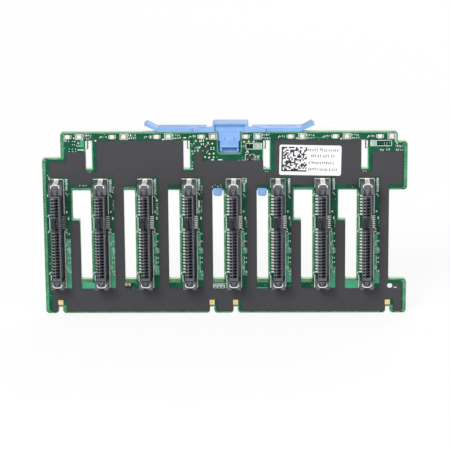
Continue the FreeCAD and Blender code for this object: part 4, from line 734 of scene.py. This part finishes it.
# bare gold test points and groups of dark bare pads
barePads = {
    "points": (
        (-60.0, 73.2), (-58.3, 71.2), (-51.4, 72.1), (-29.4, 73.3), (-24.5, 72.6), (-11.4, 71.9),
        (-9.7, 71.8), (-7.0, 72.8), (-6.5, 71.1), (-4.8, 70.8), (-6.0, 66.6), (-4.3, 66.7), (-7.7, 65.3),
        (-6.1, 65.1), (-4.3, 65.2), (7.9, 71.5), (9.7, 71.6), (11.7, 71.6), (9.1, 67.6), (28.9, 72.9),
        (46.5, 72.6)),
    "pointRadius": 0.37, "pointDepth": 0.05,
    # groups: first left edge, low, columns, rows, pitches, width and height
    "groups": ((61.0, 70.0, 5, 2, 1.05, 0.95, 0.7, 0.6), (9.1, 69.0, 2, 1, 1.15, 0.0, 0.8, 1.4)),
}
points = newShape()
for x, z in barePads["points"]:
    addDot(points, x, z, barePads["pointRadius"], front, front - barePads["pointDepth"], 14, 0.9)
darkPads = newShape()
for x, z, columns, rows, along, rise, width, height in barePads["groups"]:
    for i in range(columns):
        left = x + i * along
        for j in range(rows):
            low = z + j * rise
            addPatch(darkPads, left, left + width, low, low + height, thin)
makePiece("darkPadGroups", darkPads, "mouldedLcpInShade")
makePiece("testPoints", points, "immersionGoldSmall")

# bare laminate beside the neck of each keyhole slot
neck = {
    "start": 0.15, "width": 0.7, "lastWidth": 1.05, "low": 68.72, "high": 72.0, "depth": 0.03,
    "ledge": 1.2, "ledgeTop": 69.0, "ledgeDepth": 0.09,
}
bare = newShape()
for middle, side in zip(board["hooks"], board["hookSides"]):
    inner = middle + side * neck["start"]
    outer = middle + side * (neck["lastWidth"] if middle > 50 else neck["width"])
    ledge = middle + side * neck["ledge"]
    addPatch(bare, min(inner, outer), max(inner, outer), neck["low"], neck["high"], neck["depth"])
    addPatch(bare, min(inner, ledge), max(inner, ledge), neck["low"], neck["ledgeTop"], neck["ledgeDepth"])
makePiece("keyholeLaminate", bare, "bareLaminate")

# one tan capacitor below the second air slot, and its two tinned ends
part = newShape()
addPatch(part, -40.3, -38.7, 11.8, 12.9, 0.9)
makePiece("bandCapacitor", part, "firedTitanate")
part = newShape()
for x in (-40.6, -38.9):
    addPatch(part, x, x + 0.5, 11.75, 12.95, 0.93)
makePiece("bandCapacitorEnds", part, "reflowedSolder")
print("board printed")

# chip parts: a body between two end caps, in place of each plain solid
chips = {"cap": 0.31, "inset": 0.03}


def addSpan(shape, low, high, axis, first, last, inset, depths):
    other = 2 - axis
    sides = {axis: (first, last), other: (low[other] + inset, high[other] - inset)}
    addBox(shape, *sides[0], *sorted(depths), *sides[2])


def chipShapes(node):
    body = newShape()
    ends = newShape()
    for low, high in islands(node):
        onFront = low[1] < 0
        seat, top = (high[1], low[1]) if onFront else (low[1], high[1])
        sunk = top + chips["inset"] if onFront else top - chips["inset"]
        axis = 0 if high[0] - low[0] > high[2] - low[2] else 2
        first, last = low[axis], high[axis]
        cap = (last - first) * chips["cap"]
        addSpan(body, low, high, axis, first + cap, last - cap, chips["inset"], (seat, sunk))
        addSpan(ends, low, high, axis, first, first + cap, 0.0, (seat, top))
        addSpan(ends, low, high, axis, last - cap, last, 0.0, (seat, top))
    return body, ends


body, ends = chipShapes("chip_resistors")
piece = makePiece("resistorBodies", body, "glazedAlumina")
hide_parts("chip_resistors")
makePiece("resistorEnds", ends, "satinTinPlate")
body, ends = chipShapes("chip_capacitors")
piece = makePiece("capacitorBodies", body, "firedTitanateDark")
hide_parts("chip_capacitors")
makePiece("capacitorEnds", ends, "satinTinPlate")

# lamps: a white body between two soldered ends, under a domed lens
lamps = {
    "base": 0.5, "end": 0.38, "padDrop": 0.08, "padInset": 0.12,
    # the lens: how far it stands out, its share of the lamp's width and height, and its flat crown
    "lens": 0.34, "rings": 5, "sides": 16, "across": 0.3, "upward": 0.42, "crown": 0.1, "square": 0.6,
}


# A dome in stacked rings, whose outline is a square with well rounded corners.
def addDome(shape, cx, cz, wide, tall, near, rise):
    base = len(shape["verts"])
    sides = lamps["sides"]
    rings = lamps["rings"]
    for i in range(rings + 1):
        step = i / rings
        shrink = math.sqrt(max(0.0, 1 - step ** 2)) * (1 - lamps["crown"]) + lamps["crown"]
        for j in range(sides):
            angle = 2 * math.pi * j / sides
            square = 1 / max(abs(math.cos(angle)), abs(math.sin(angle))) ** lamps["square"]
            x = cx + wide * shrink * math.cos(angle) * square
            z = cz + tall * shrink * math.sin(angle) * square
            shape["verts"].append((x * mm, (near - rise * step) * mm, z * mm))
    for i in range(rings):
        for j in range(sides):
            a = base + i * sides + j
            b = base + i * sides + (j + 1) % sides
            shape["faces"].append([a, b, b + sides, a + sides])
    shape["faces"].append([base + rings * sides + j for j in range(sides)])


for node, stem in (("activity_lamps", "activityLamp"), ("status_lamps", "statusLamp")):
    body = newShape()
    lens = newShape()
    pads = newShape()
    base = lamps["base"]
    end = lamps["end"]
    inset = lamps["padInset"]
    for low, high in islands(node):
        x0, x1, z0, z1 = low[0], high[0], low[2], high[2]
        addPatch(body, x0 + end, x1 - end, z0, z1, base)
        for xa, xb in ((x0, x0 + end), (x1 - end, x1)):
            addPatch(pads, xa, xb, z0 + inset, z1 - inset, base - lamps["padDrop"])
        addDome(lens, (x0 + x1) / 2, (z0 + z1) / 2, (x1 - x0) * lamps["across"], (z1 - z0) * lamps["upward"],
                front - base, lamps["lens"])
    piece = makePiece(stem + "Bodies", body, "whitePolyphthalamide")
    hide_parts(node)
    makePiece(stem + "Lenses", lens, "clearEpoxyLens")
    makePiece(stem + "Pads", pads, "reflowedSolder")
print("chip parts and lamps made")

# drive connectors: what shows inside and round each housing, with the finish and slot of each piece
plugTrim = {
    "contactBlades": ("goldFlashedBronze", "gold_plate"),
    "slotRibs": ("mouldedLcpRib", "connector_resin"),
    "contactWindowShades": ("mouldedLcpInShade", "connector_resin"),
    "slotAndFlankShades": ("mouldedLcpDeep", "connector_resin"),
    "guideWedges": ("mouldedLcp", "connector_resin"),
    "contactWindowRibHighlights": ("mouldedLcpEdge", "connector_resin"),
    "housingLipHighlights": ("mouldedLcpWorn", "connector_resin"),
    "clipTabs": ("tinnedPhosphorBronze", "tinned_steel"),
    "housingFeetLeft": ("mouldedLcpDeep", "connector_resin"),
    "housingFeetRight": ("mouldedLcpFoot", "connector_resin"),
    "portShoulderHighlights": ("mouldedLcpWorn", "connector_resin"),
    "secondPortOpeningShades": ("mouldedLcpInShade", "connector_resin"),
    "fineTailGapShades": ("mouldedLcpInShade", "circuit_board"),
    "clipDimples": ("satinTinPlateDull", "tinned_steel"),
}
# places are measured from the middle of the connector, levels from the foot of the board
plug = {
    "mouth": -8.5, "pitch": 1.27, "firstRow": 49.2, "rows": list(range(7)) + list(range(11, 26)),
    "slotHalf": 0.85, "slotFloor": -2.9, "ribHalf": 0.21, "webHalf": 0.16,
    "bladeHalf": 0.31, "bladeBow": ((-7.9, 0.06), (-6.9, 0.5), (-5.4, 0.3), (-3.1, 0.08)),
    "windowHalf": 0.42, "windowAcross": 1.53, "wedgeAcross": 0.55, "wedges": ((54.1, 51.3), (15.3, 13.6)),
    "fineFirst": 40.8, "finePitch": 0.8, "fineCount": 8, "fineHalf": 0.22,
}
mouth = plug["mouth"]
slotFloor = plug["slotFloor"]
keyGap = (36.05, 41.0)
footOf = {True: "housingFeetLeft", False: "housingFeetRight"}
# boxes that repeat on every connector: left, right, front, back, low and high
plugBoxes = {
    # painted highlight: a lighter strip on the rounded lip along the right wall, where it catches the light,
    # and a lighter shoulder round the second port
    "housingLipHighlights": [(0.92, 1.2, mouth - 0.02, mouth, 16.0, 34.2),
                    (0.92, 1.2, mouth - 0.02, mouth, 41.7, 51.0)],
    "portShoulderHighlights": [(0.92, 1.65, mouth - 0.02, mouth + 0.3, 34.3, 41.5)],
    # painted shade: dark plates on the floor of the slot and of the key gap beside it
    "slotAndFlankShades": [(-0.84, 0.84, -3.1, slotFloor - 0.02, 16.75, 50.45),
                   (-2.19, -0.86, -5.94, -5.92, *keyGap)],
    # painted highlight: a lighter plate across the slot at the key gap
    "contactWindowRibHighlights": [(-0.84, 0.84, -3.2, -3.12, *keyGap)],
    # painted shade: a dark patch on the board in the gap under the fine tails, and two dimples pressed into
    # the clip on top of the housing, drawn in shaded tin
    "fineTailGapShades": [(1.7, 2.95, front - thin, front, 35.6, 41.2)],
    "clipDimples": [(-0.75, -0.05, -3.25, -2.75, 55.9, 55.93), (-0.75, -0.05, -5.85, -5.35, 55.9, 55.93)],
}
# foot of the housing beside the wall: lit on the right half of the board, in shade on the left
feet = [(1.5, 2.25, front - 0.5, front, 15.3, 35.4), (1.5, 2.25, front - 0.5, front, 41.4, 51.5)]
trim = {name: newShape() for name in plugTrim}
rowLevels = [plug["firstRow"] - row * plug["pitch"] for row in plug["rows"]]


# A spring blade down the slot wall, bowed into the slot.
def addBlade(shape, wall, level):
    base = len(shape["verts"])
    for depth, reach in plug["bladeBow"]:
        for z in (level - plug["bladeHalf"], level + plug["bladeHalf"]):
            shape["verts"].append(((wall + reach) * mm, depth * mm, z * mm))
    for i in range(len(plug["bladeBow"]) - 1):
        a = base + 2 * i
        shape["faces"].append([a, a + 1, a + 3, a + 2])


for middle in bays:
    wall = middle - plug["slotHalf"]
    window = middle - plug["windowAcross"]
    half = plug["windowHalf"]
    rib = plug["ribHalf"]
    web = plug["webHalf"]
    for level in rowLevels:
        addBlade(trim["contactBlades"], wall, level)
        # rib between two contacts on each slot wall, and the shaded floor of the window beside it
        between = level + plug["pitch"] / 2
        addBox(trim["slotRibs"], wall, wall + 0.8, -8.3, slotFloor, between - rib, between + rib)
        addBox(trim["slotRibs"], wall + 1.05, wall + 1.69, -8.1, slotFloor, between - rib, between + rib)
        addBox(trim["contactWindowShades"], window - half, window + half, mouth - 0.005, mouth + 0.1,
               level - half, level + half)
        # painted highlight: a lighter strip on the web between two windows
        addBox(trim["contactWindowRibHighlights"], window - half, window + half, mouth - 0.02, mouth,
               between - web, between + web)
    for name, boxes in [*plugBoxes.items(), (footOf[middle < 0], feet)]:
        for left, right, near, far, low, high in boxes:
            addBox(trim[name], middle + left, middle + right, near, far, low, high)
    # guide wedge at each end, between two flanks of painted shade
    across = middle - plug["wedgeAcross"]
    for top, low in plug["wedges"]:
        addPlate(trim["slotAndFlankShades"], [(across - 1.7, low + 0.1), (across + 1.7, low + 0.1),
                                      (across + 1.25, top - 0.5), (across - 1.25, top - 0.5)],
                 mouth + 0.05, mouth - 0.01)
        addPlate(trim["guideWedges"], [(across - 0.3, low), (across + 0.3, low), (across + 1.2, top),
                                       (across - 1.2, top)], mouth + 0.05, mouth - 0.06, 0.9)
    # painted shade: dark patches for the small openings in the right wall where the contacts of the second
    # port show
    for i in range(plug["fineCount"]):
        level = plug["fineFirst"] - i * plug["finePitch"]
        addBox(trim["secondPortOpeningShades"], middle + 1.02, middle + 1.6, mouth - 0.04, mouth,
               level - plug["fineHalf"], level + plug["fineHalf"])
    # the clip's tab on the board
    addPlate(trim["clipTabs"], [(middle - 1.35, 55.95), (middle + 0.5, 55.95), (middle + 0.4, 56.45),
                                (middle - 1.25, 56.45)], front, front - 0.1)
for name, (finish, slot) in plugTrim.items():
    makePiece(name, trim[name], finish)
print("connectors fitted")

# latch
latch = {
    "middle": 2.0, "armTop": 77.15, "gripPitch": 1.27, "grips": ((-25.8, -13.4), (17.6, 29.0)),
    "gripNear": 1.3, "gripFar": 3.2, "gripHalf": 0.18, "gripSlant": 0.35, "gripHeight": 0.03,
    "gapNear": 3.75, "gapFar": 4.75, "gapFace": -0.85, "gapDepth": 0.08,
    "seams": (-12.55, 16.55), "seamHalf": 0.09, "seamDepths": (-2.02, -1.9), "seamLevels": (75.75, 77.1),
    # the ramp under the lip: half its width, then depth and level of its foot and head, and its thickness
    "rampHalf": 2.75, "rampFoot": (-0.5, 67.35), "rampHead": (0.24, 69.45), "rampSkin": 0.06,
    "ejectors": (0.1, 4.1), "ejectorLevel": 72.7, "ejectorRadius": 0.3, "ejectorFace": -0.9,
}
grips = newShape()
for start, finish in latch["grips"]:
    x = start
    slant = latch["gripSlant"]
    while x < finish:
        # painted shade: darker strokes for the shallow slanted grooves moulded into the top of the arm
        half = latch["gripHalf"]
        ring = ((x - slant - half, latch["gripNear"]), (x - slant + half, latch["gripNear"]),
                (x + slant + half, latch["gripFar"]), (x + slant - half, latch["gripFar"]))
        levels = (latch["armTop"], latch["armTop"] + latch["gripHeight"])
        addBlock(grips, [(across, y, z) for z in levels for across, y in ring])
        slant = -slant
        x += latch["gripPitch"]
makePiece("latchGripStrokes", grips, "mouldedPolyacetalShade")
# painted shade: dark plates in the gaps beside the tongue, and darker lines for the seams where the arms
# leave their roots
gapShades = newShape()
for side in (-1, 1):
    near = latch["middle"] + side * latch["gapNear"]
    far = latch["middle"] + side * latch["gapFar"]
    addPlate(gapShades, [(near, 67.0), (far, 67.4), (far, 71.2), (near, 71.6)],
             latch["gapFace"], latch["gapFace"] - latch["gapDepth"])
makePiece("tongueGapShades", gapShades, "mouldedPolyacetalGapShade")
seams = newShape()
for x in latch["seams"]:
    addBox(seams, x - latch["seamHalf"], x + latch["seamHalf"], *latch["seamDepths"], *latch["seamLevels"])
makePiece("latchArmSeamShades", seams, "mouldedPolyacetalShade")
# the ramp under the lip lies in shade between the two rails
ramp = newShape()
left = latch["middle"] - latch["rampHalf"]
right = latch["middle"] + latch["rampHalf"]
corners = []
for y, z in (latch["rampFoot"], latch["rampHead"]):
    skin = y + latch["rampSkin"]
    corners += [(left, y, z), (right, y, z), (right, skin, z), (left, skin, z)]
addBlock(ramp, corners)
makePiece("latchRampShade", ramp, "mouldedPolyacetalRamp")
# painted shade: darker dots for the two ejector pin marks
marks = newShape()
for x in latch["ejectors"]:
    addDot(marks, x, latch["ejectorLevel"], latch["ejectorRadius"], latch["ejectorFace"],
           latch["ejectorFace"] - 0.04, 12)
makePiece("latchEjectorMarks", marks, "mouldedPolyacetalShade")

# label: a field of random cells and rows of broken strokes that read as worn print
label = {
    "middle": (34.25, 63.9), "turn": math.radians(1.2), "face": -1.5, "depth": 0.02, "sunk": 0.002,
    "cell": 0.56, "cells": 18, "code": (-11.5, -4.7), "stroke": 0.2,
    # start, end and level of each row, from the label's middle
    "rows": ((-1.2, 11.4, 3.7), (0.2, 9.6, 1.2), (-0.6, 9.2, -1.6), (-0.8, 10.8, -4.3)),
}
dark = newShape()
faint = newShape()


def onLabel(shape, x0, x1, z0, z1):
    cx, cz = label["middle"]
    c, s = math.cos(label["turn"]), math.sin(label["turn"])
    outline = [(cx + x * c + z * s, cz - x * s + z * c) for x, z in ((x0, z0), (x1, z0), (x1, z1), (x0, z1))]
    addPlate(shape, outline, label["face"] + label["sunk"], label["face"] - label["depth"])


cell = label["cell"]
for i in range(label["cells"]):
    for j in range(label["cells"]):
        if chance.random() < 0.5 or i == 0 or j == 0:
            x, z = label["code"][0] + i * cell, label["code"][1] + j * cell
            onLabel(dark, x, x + cell, z, z + cell)
stroke = label["stroke"]
for start, finish, level in label["rows"]:
    x = start
    while x < finish:
        for _ in range(2):
            low = level + chance.uniform(0.0, 0.35)
            along = x + chance.uniform(0.0, 0.4)
            onLabel(faint, along, along + stroke, low, low + chance.uniform(0.6, 1.0))
        low = level + chance.uniform(0.0, 1.0)
        along = x + chance.uniform(0.0, 0.2)
        onLabel(faint, along, along + chance.uniform(0.35, 0.6), low, low + stroke)
        x += chance.choice((0.8, 0.85, 0.9, 0.9, 1.4))
makePiece("labelDotCode", dark, "thermalPrint")
makePiece("labelMarkRows", faint, "thermalPrintWorn")
print("latch and label finished")

# cable side: soldered feet of the clips, rings round the contacts' vias, and print
back = {
    "feet": (53.8, 13.4), "footAcross": -0.4, "footRadius": 0.95, "footHeight": 0.5,
    "viaAcross": 1.6, "viaRadius": 0.28, "viaHeight": 0.04,
    # printed outlines: left, right, low and high
    "outlines": (
        (-47.2, -22.8, 63.7, 73.6), (23.8, 48.2, 63.7, 73.6), (-46.2, -23.8, 52.0, 63.0),
        (27.0, 43.0, 54.9, 60.4), (-69.6, -57.0, 52.1, 64.7), (62.8, 68.4, 55.4, 61.4),
        (62.8, 68.4, 63.4, 69.4)),
    # rows of marks: place and cells
    "rows": ((-52.2, 66.5, 4), (-13.2, 71.5, 5), (11.0, 71.0, 4), (50.0, 70.8, 5), (56.0, 52.8, 4),
             (-20.5, 53.2, 5)),
    # dots at the first corner of three chips: place, and depth of the chip's face
    "chipDots": ((-59.6, 54.7, 2.55), (64.0, 57.3, 2.85), (64.0, 65.3, 2.85)),
    "dotRadius": 0.4, "dotHalf": 0.01,
}
joints = newShape()
holes = newShape()
for middle in bays:
    for level in rowLevels:
        addDot(holes, middle + back["viaAcross"], level, back["viaRadius"], rear, rear + back["viaHeight"], 8)
    for level in back["feet"]:
        addDot(joints, middle + back["footAcross"], level, back["footRadius"], rear,
               rear + back["footHeight"], 16, 0.45)
makePiece("clipSolderJoints", joints, "reflowedSolder")
makePiece("rearVias", holes, "immersionGold")

rearInk = newShape()
rearFace = rear + board["inkDepth"]
for x0, x1, z0, z1 in back["outlines"]:
    addFrame(rearInk, x0, x1, z0, z1, 0.2, rear, rearFace)
for middle in bays:
    addMarks(rearInk, middle - 2.2, 6.2, 5, 0.8, False, rear, rearFace)
for x, z, count in back["rows"]:
    addMarks(rearInk, x, z, count, 0.9, False, rear, rearFace)
makePiece("rearScreenPrint", rearInk, "epoxyInk")

corner = newShape()
for x, z, depth in back["chipDots"]:
    addDot(corner, x, z, back["dotRadius"], depth - back["dotHalf"], depth + back["dotHalf"], 16, 1.0)
makePiece("chipCornerDots", corner, "mouldedLcpInShade")
print("cable side finished")

# finishes on the CAD nodes; the contacts of the first two connectors get painted shade
finishes = {
    "board": "solderMaskOnFr4", "insulator_film": "polycarbonateFilm", "label": "coatedLabelPaper",
    "release_latch": "mouldedPolyacetal", "ground_pads": "immersionGold", "hook_slot_pads": "satinTinPlate",
    "transistors": "mouldedEpoxyGrey", "power_header": "mouldedNylon", "signal_header": "mouldedNylon",
    "controller_chip": "mouldedEpoxy", "memory_chip": "mouldedEpoxy", "regulator_chip": "mouldedEpoxy",
    "power_inductor": "pressedFerrite", "bulk_capacitors": "drawnAluminium",
}
for node in ("transistor_leads", "power_pins", "signal_pins", "controller_chip_leads", "memory_chip_leads",
             "regulator_chip_leads"):
    finishes[node] = "satinTinPlate"
for tag in ("a", "b"):
    finishes["data_socket_shell_" + tag] = "nickelPlatedSteel"
    finishes["data_socket_core_" + tag] = "mouldedEpoxy"
    finishes["data_socket_contacts_" + tag] = "satinTinPlate"
shadedContacts = {1: "satinTinPlateDull", 2: "satinTinPlateWorn"}
for k in range(1, board["bays"] + 1):
    finishes["drive_connector_%d" % k] = "mouldedLcp"
    finishes["hold_down_clips_%d" % k] = "tinnedPhosphorBronze"
    finishes["connector_contacts_%d" % k] = shadedContacts.get(k, "satinTinPlate")
for node, finish in finishes.items():
    mesh = nodes[node].data
    mesh.materials.clear()
    mesh.materials.append(mats[finish])
print("finishes assigned")

# floor, light and camera, in metres
studio = {
    "floor": 6.0, "floorLevel": -0.0004, "floorGrey": 0.8, "floorGlow": 1.06, "floorGlowShare": 0.8,
    "worldLight": 0.42, "aim": (0, 0, 0.04),
    "lights": [
        ("keyLight", (-0.6, -1.3, 1.1), 0.7, 20.0),
        ("fillLight", (0.9, -1.0, 0.5), 1.0, 3.5),
        ("rearLight", (0.4, 1.3, 0.9), 1.0, 8.0),
    ],
}
half = studio["floor"] / 2
corners = ((-half, -half), (half, -half), (half, half), (-half, half))
floorMesh = bpy.data.meshes.new("studioFloor")
floorMesh.from_pydata([(x, y, studio["floorLevel"]) for x, y in corners], [], [(0, 1, 2, 3)])
floor = addObject("studioFloor", floorMesh)
# matt pale paint that glows a little towards the camera only, so that the ground reads as plain white
paint = bpy.data.materials.new("paleFloor")
tree = emptyTree(paint)
matt = addNode(tree, "BsdfDiffuse", {"Color": [studio["floorGrey"]] * 3 + [1.0]})
glow = addNode(tree, "Emission", {"Color": [1, 1, 1, 1], "Strength": studio["floorGlow"]})
rays = addNode(tree, "LightPath").outputs
seen = addNode(tree, "Math", {"operation": "MULTIPLY", 1: studio["floorGlowShare"]},
               {0: rays["Is Camera Ray"]})
both = addNode(tree, "MixShader", {}, {0: seen, 1: matt, 2: glow})
addNode(tree, "OutputMaterial", {}, {"Surface": both})
floorMesh.materials.append(paint)

# white where the camera or a reflection sees the sky, and dimmer where it lights the board
world = bpy.data.worlds.new("softStudio")
bpy.context.scene.world = world
tree = emptyTree(world)
rays = addNode(tree, "LightPath").outputs
direct = addNode(tree, "Math", {"operation": "MAXIMUM"},
                 {0: rays["Is Camera Ray"], 1: rays["Is Transmission Ray"]})
white = addNode(tree, "Math", {"operation": "MAXIMUM"}, {0: direct, 1: rays["Is Glossy Ray"]})
level = addNode(tree, "MapRange", {"To Min": studio["worldLight"], "To Max": 1.0}, {"Value": white})
sky = addNode(tree, "Background", {"Color": [1, 1, 1, 1]}, {"Strength": level})
addNode(tree, "OutputWorld", {}, {"Surface": sky})

for name, place, width, power in studio["lights"]:
    lamp = bpy.data.lights.new(name, "AREA")
    lamp.shape = "SQUARE"
    lamp.size = width
    lamp.energy = power
    holder = addObject(name, lamp)
    holder.location = place
    aim = Vector(studio["aim"]) - Vector(place)
    holder.rotation_euler = aim.to_track_quat("-Z", "Y").to_euler()

# the camera fitted to the photo: its place, and the directions to its right, down and ahead
view = {
    "place": (0.0200627, -0.9576283, 0.3107327), "lens": 197.92, "sensor": 36.0, "nearest": 0.01,
    "right": (0.9997933, 0.0186873, -0.0080040), "down": (-0.0025537, -0.2751547, -0.9613966),
    "ahead": (-0.0201682, 0.9612183, -0.2750501),
}
camera = bpy.data.cameras.new("photoView")
camera.lens = view["lens"]
camera.sensor_width = view["sensor"]
camera.clip_start = view["nearest"]
holder = addObject("photoView", camera)
axes = Matrix((view["right"], [-c for c in view["down"]], [-c for c in view["ahead"]])).transposed()
holder.matrix_world = Matrix.Translation(view["place"]) @ axes.to_4x4()
bpy.context.scene.camera = holder
bpy.context.scene.view_settings.view_transform = "Standard"
print("studio set")
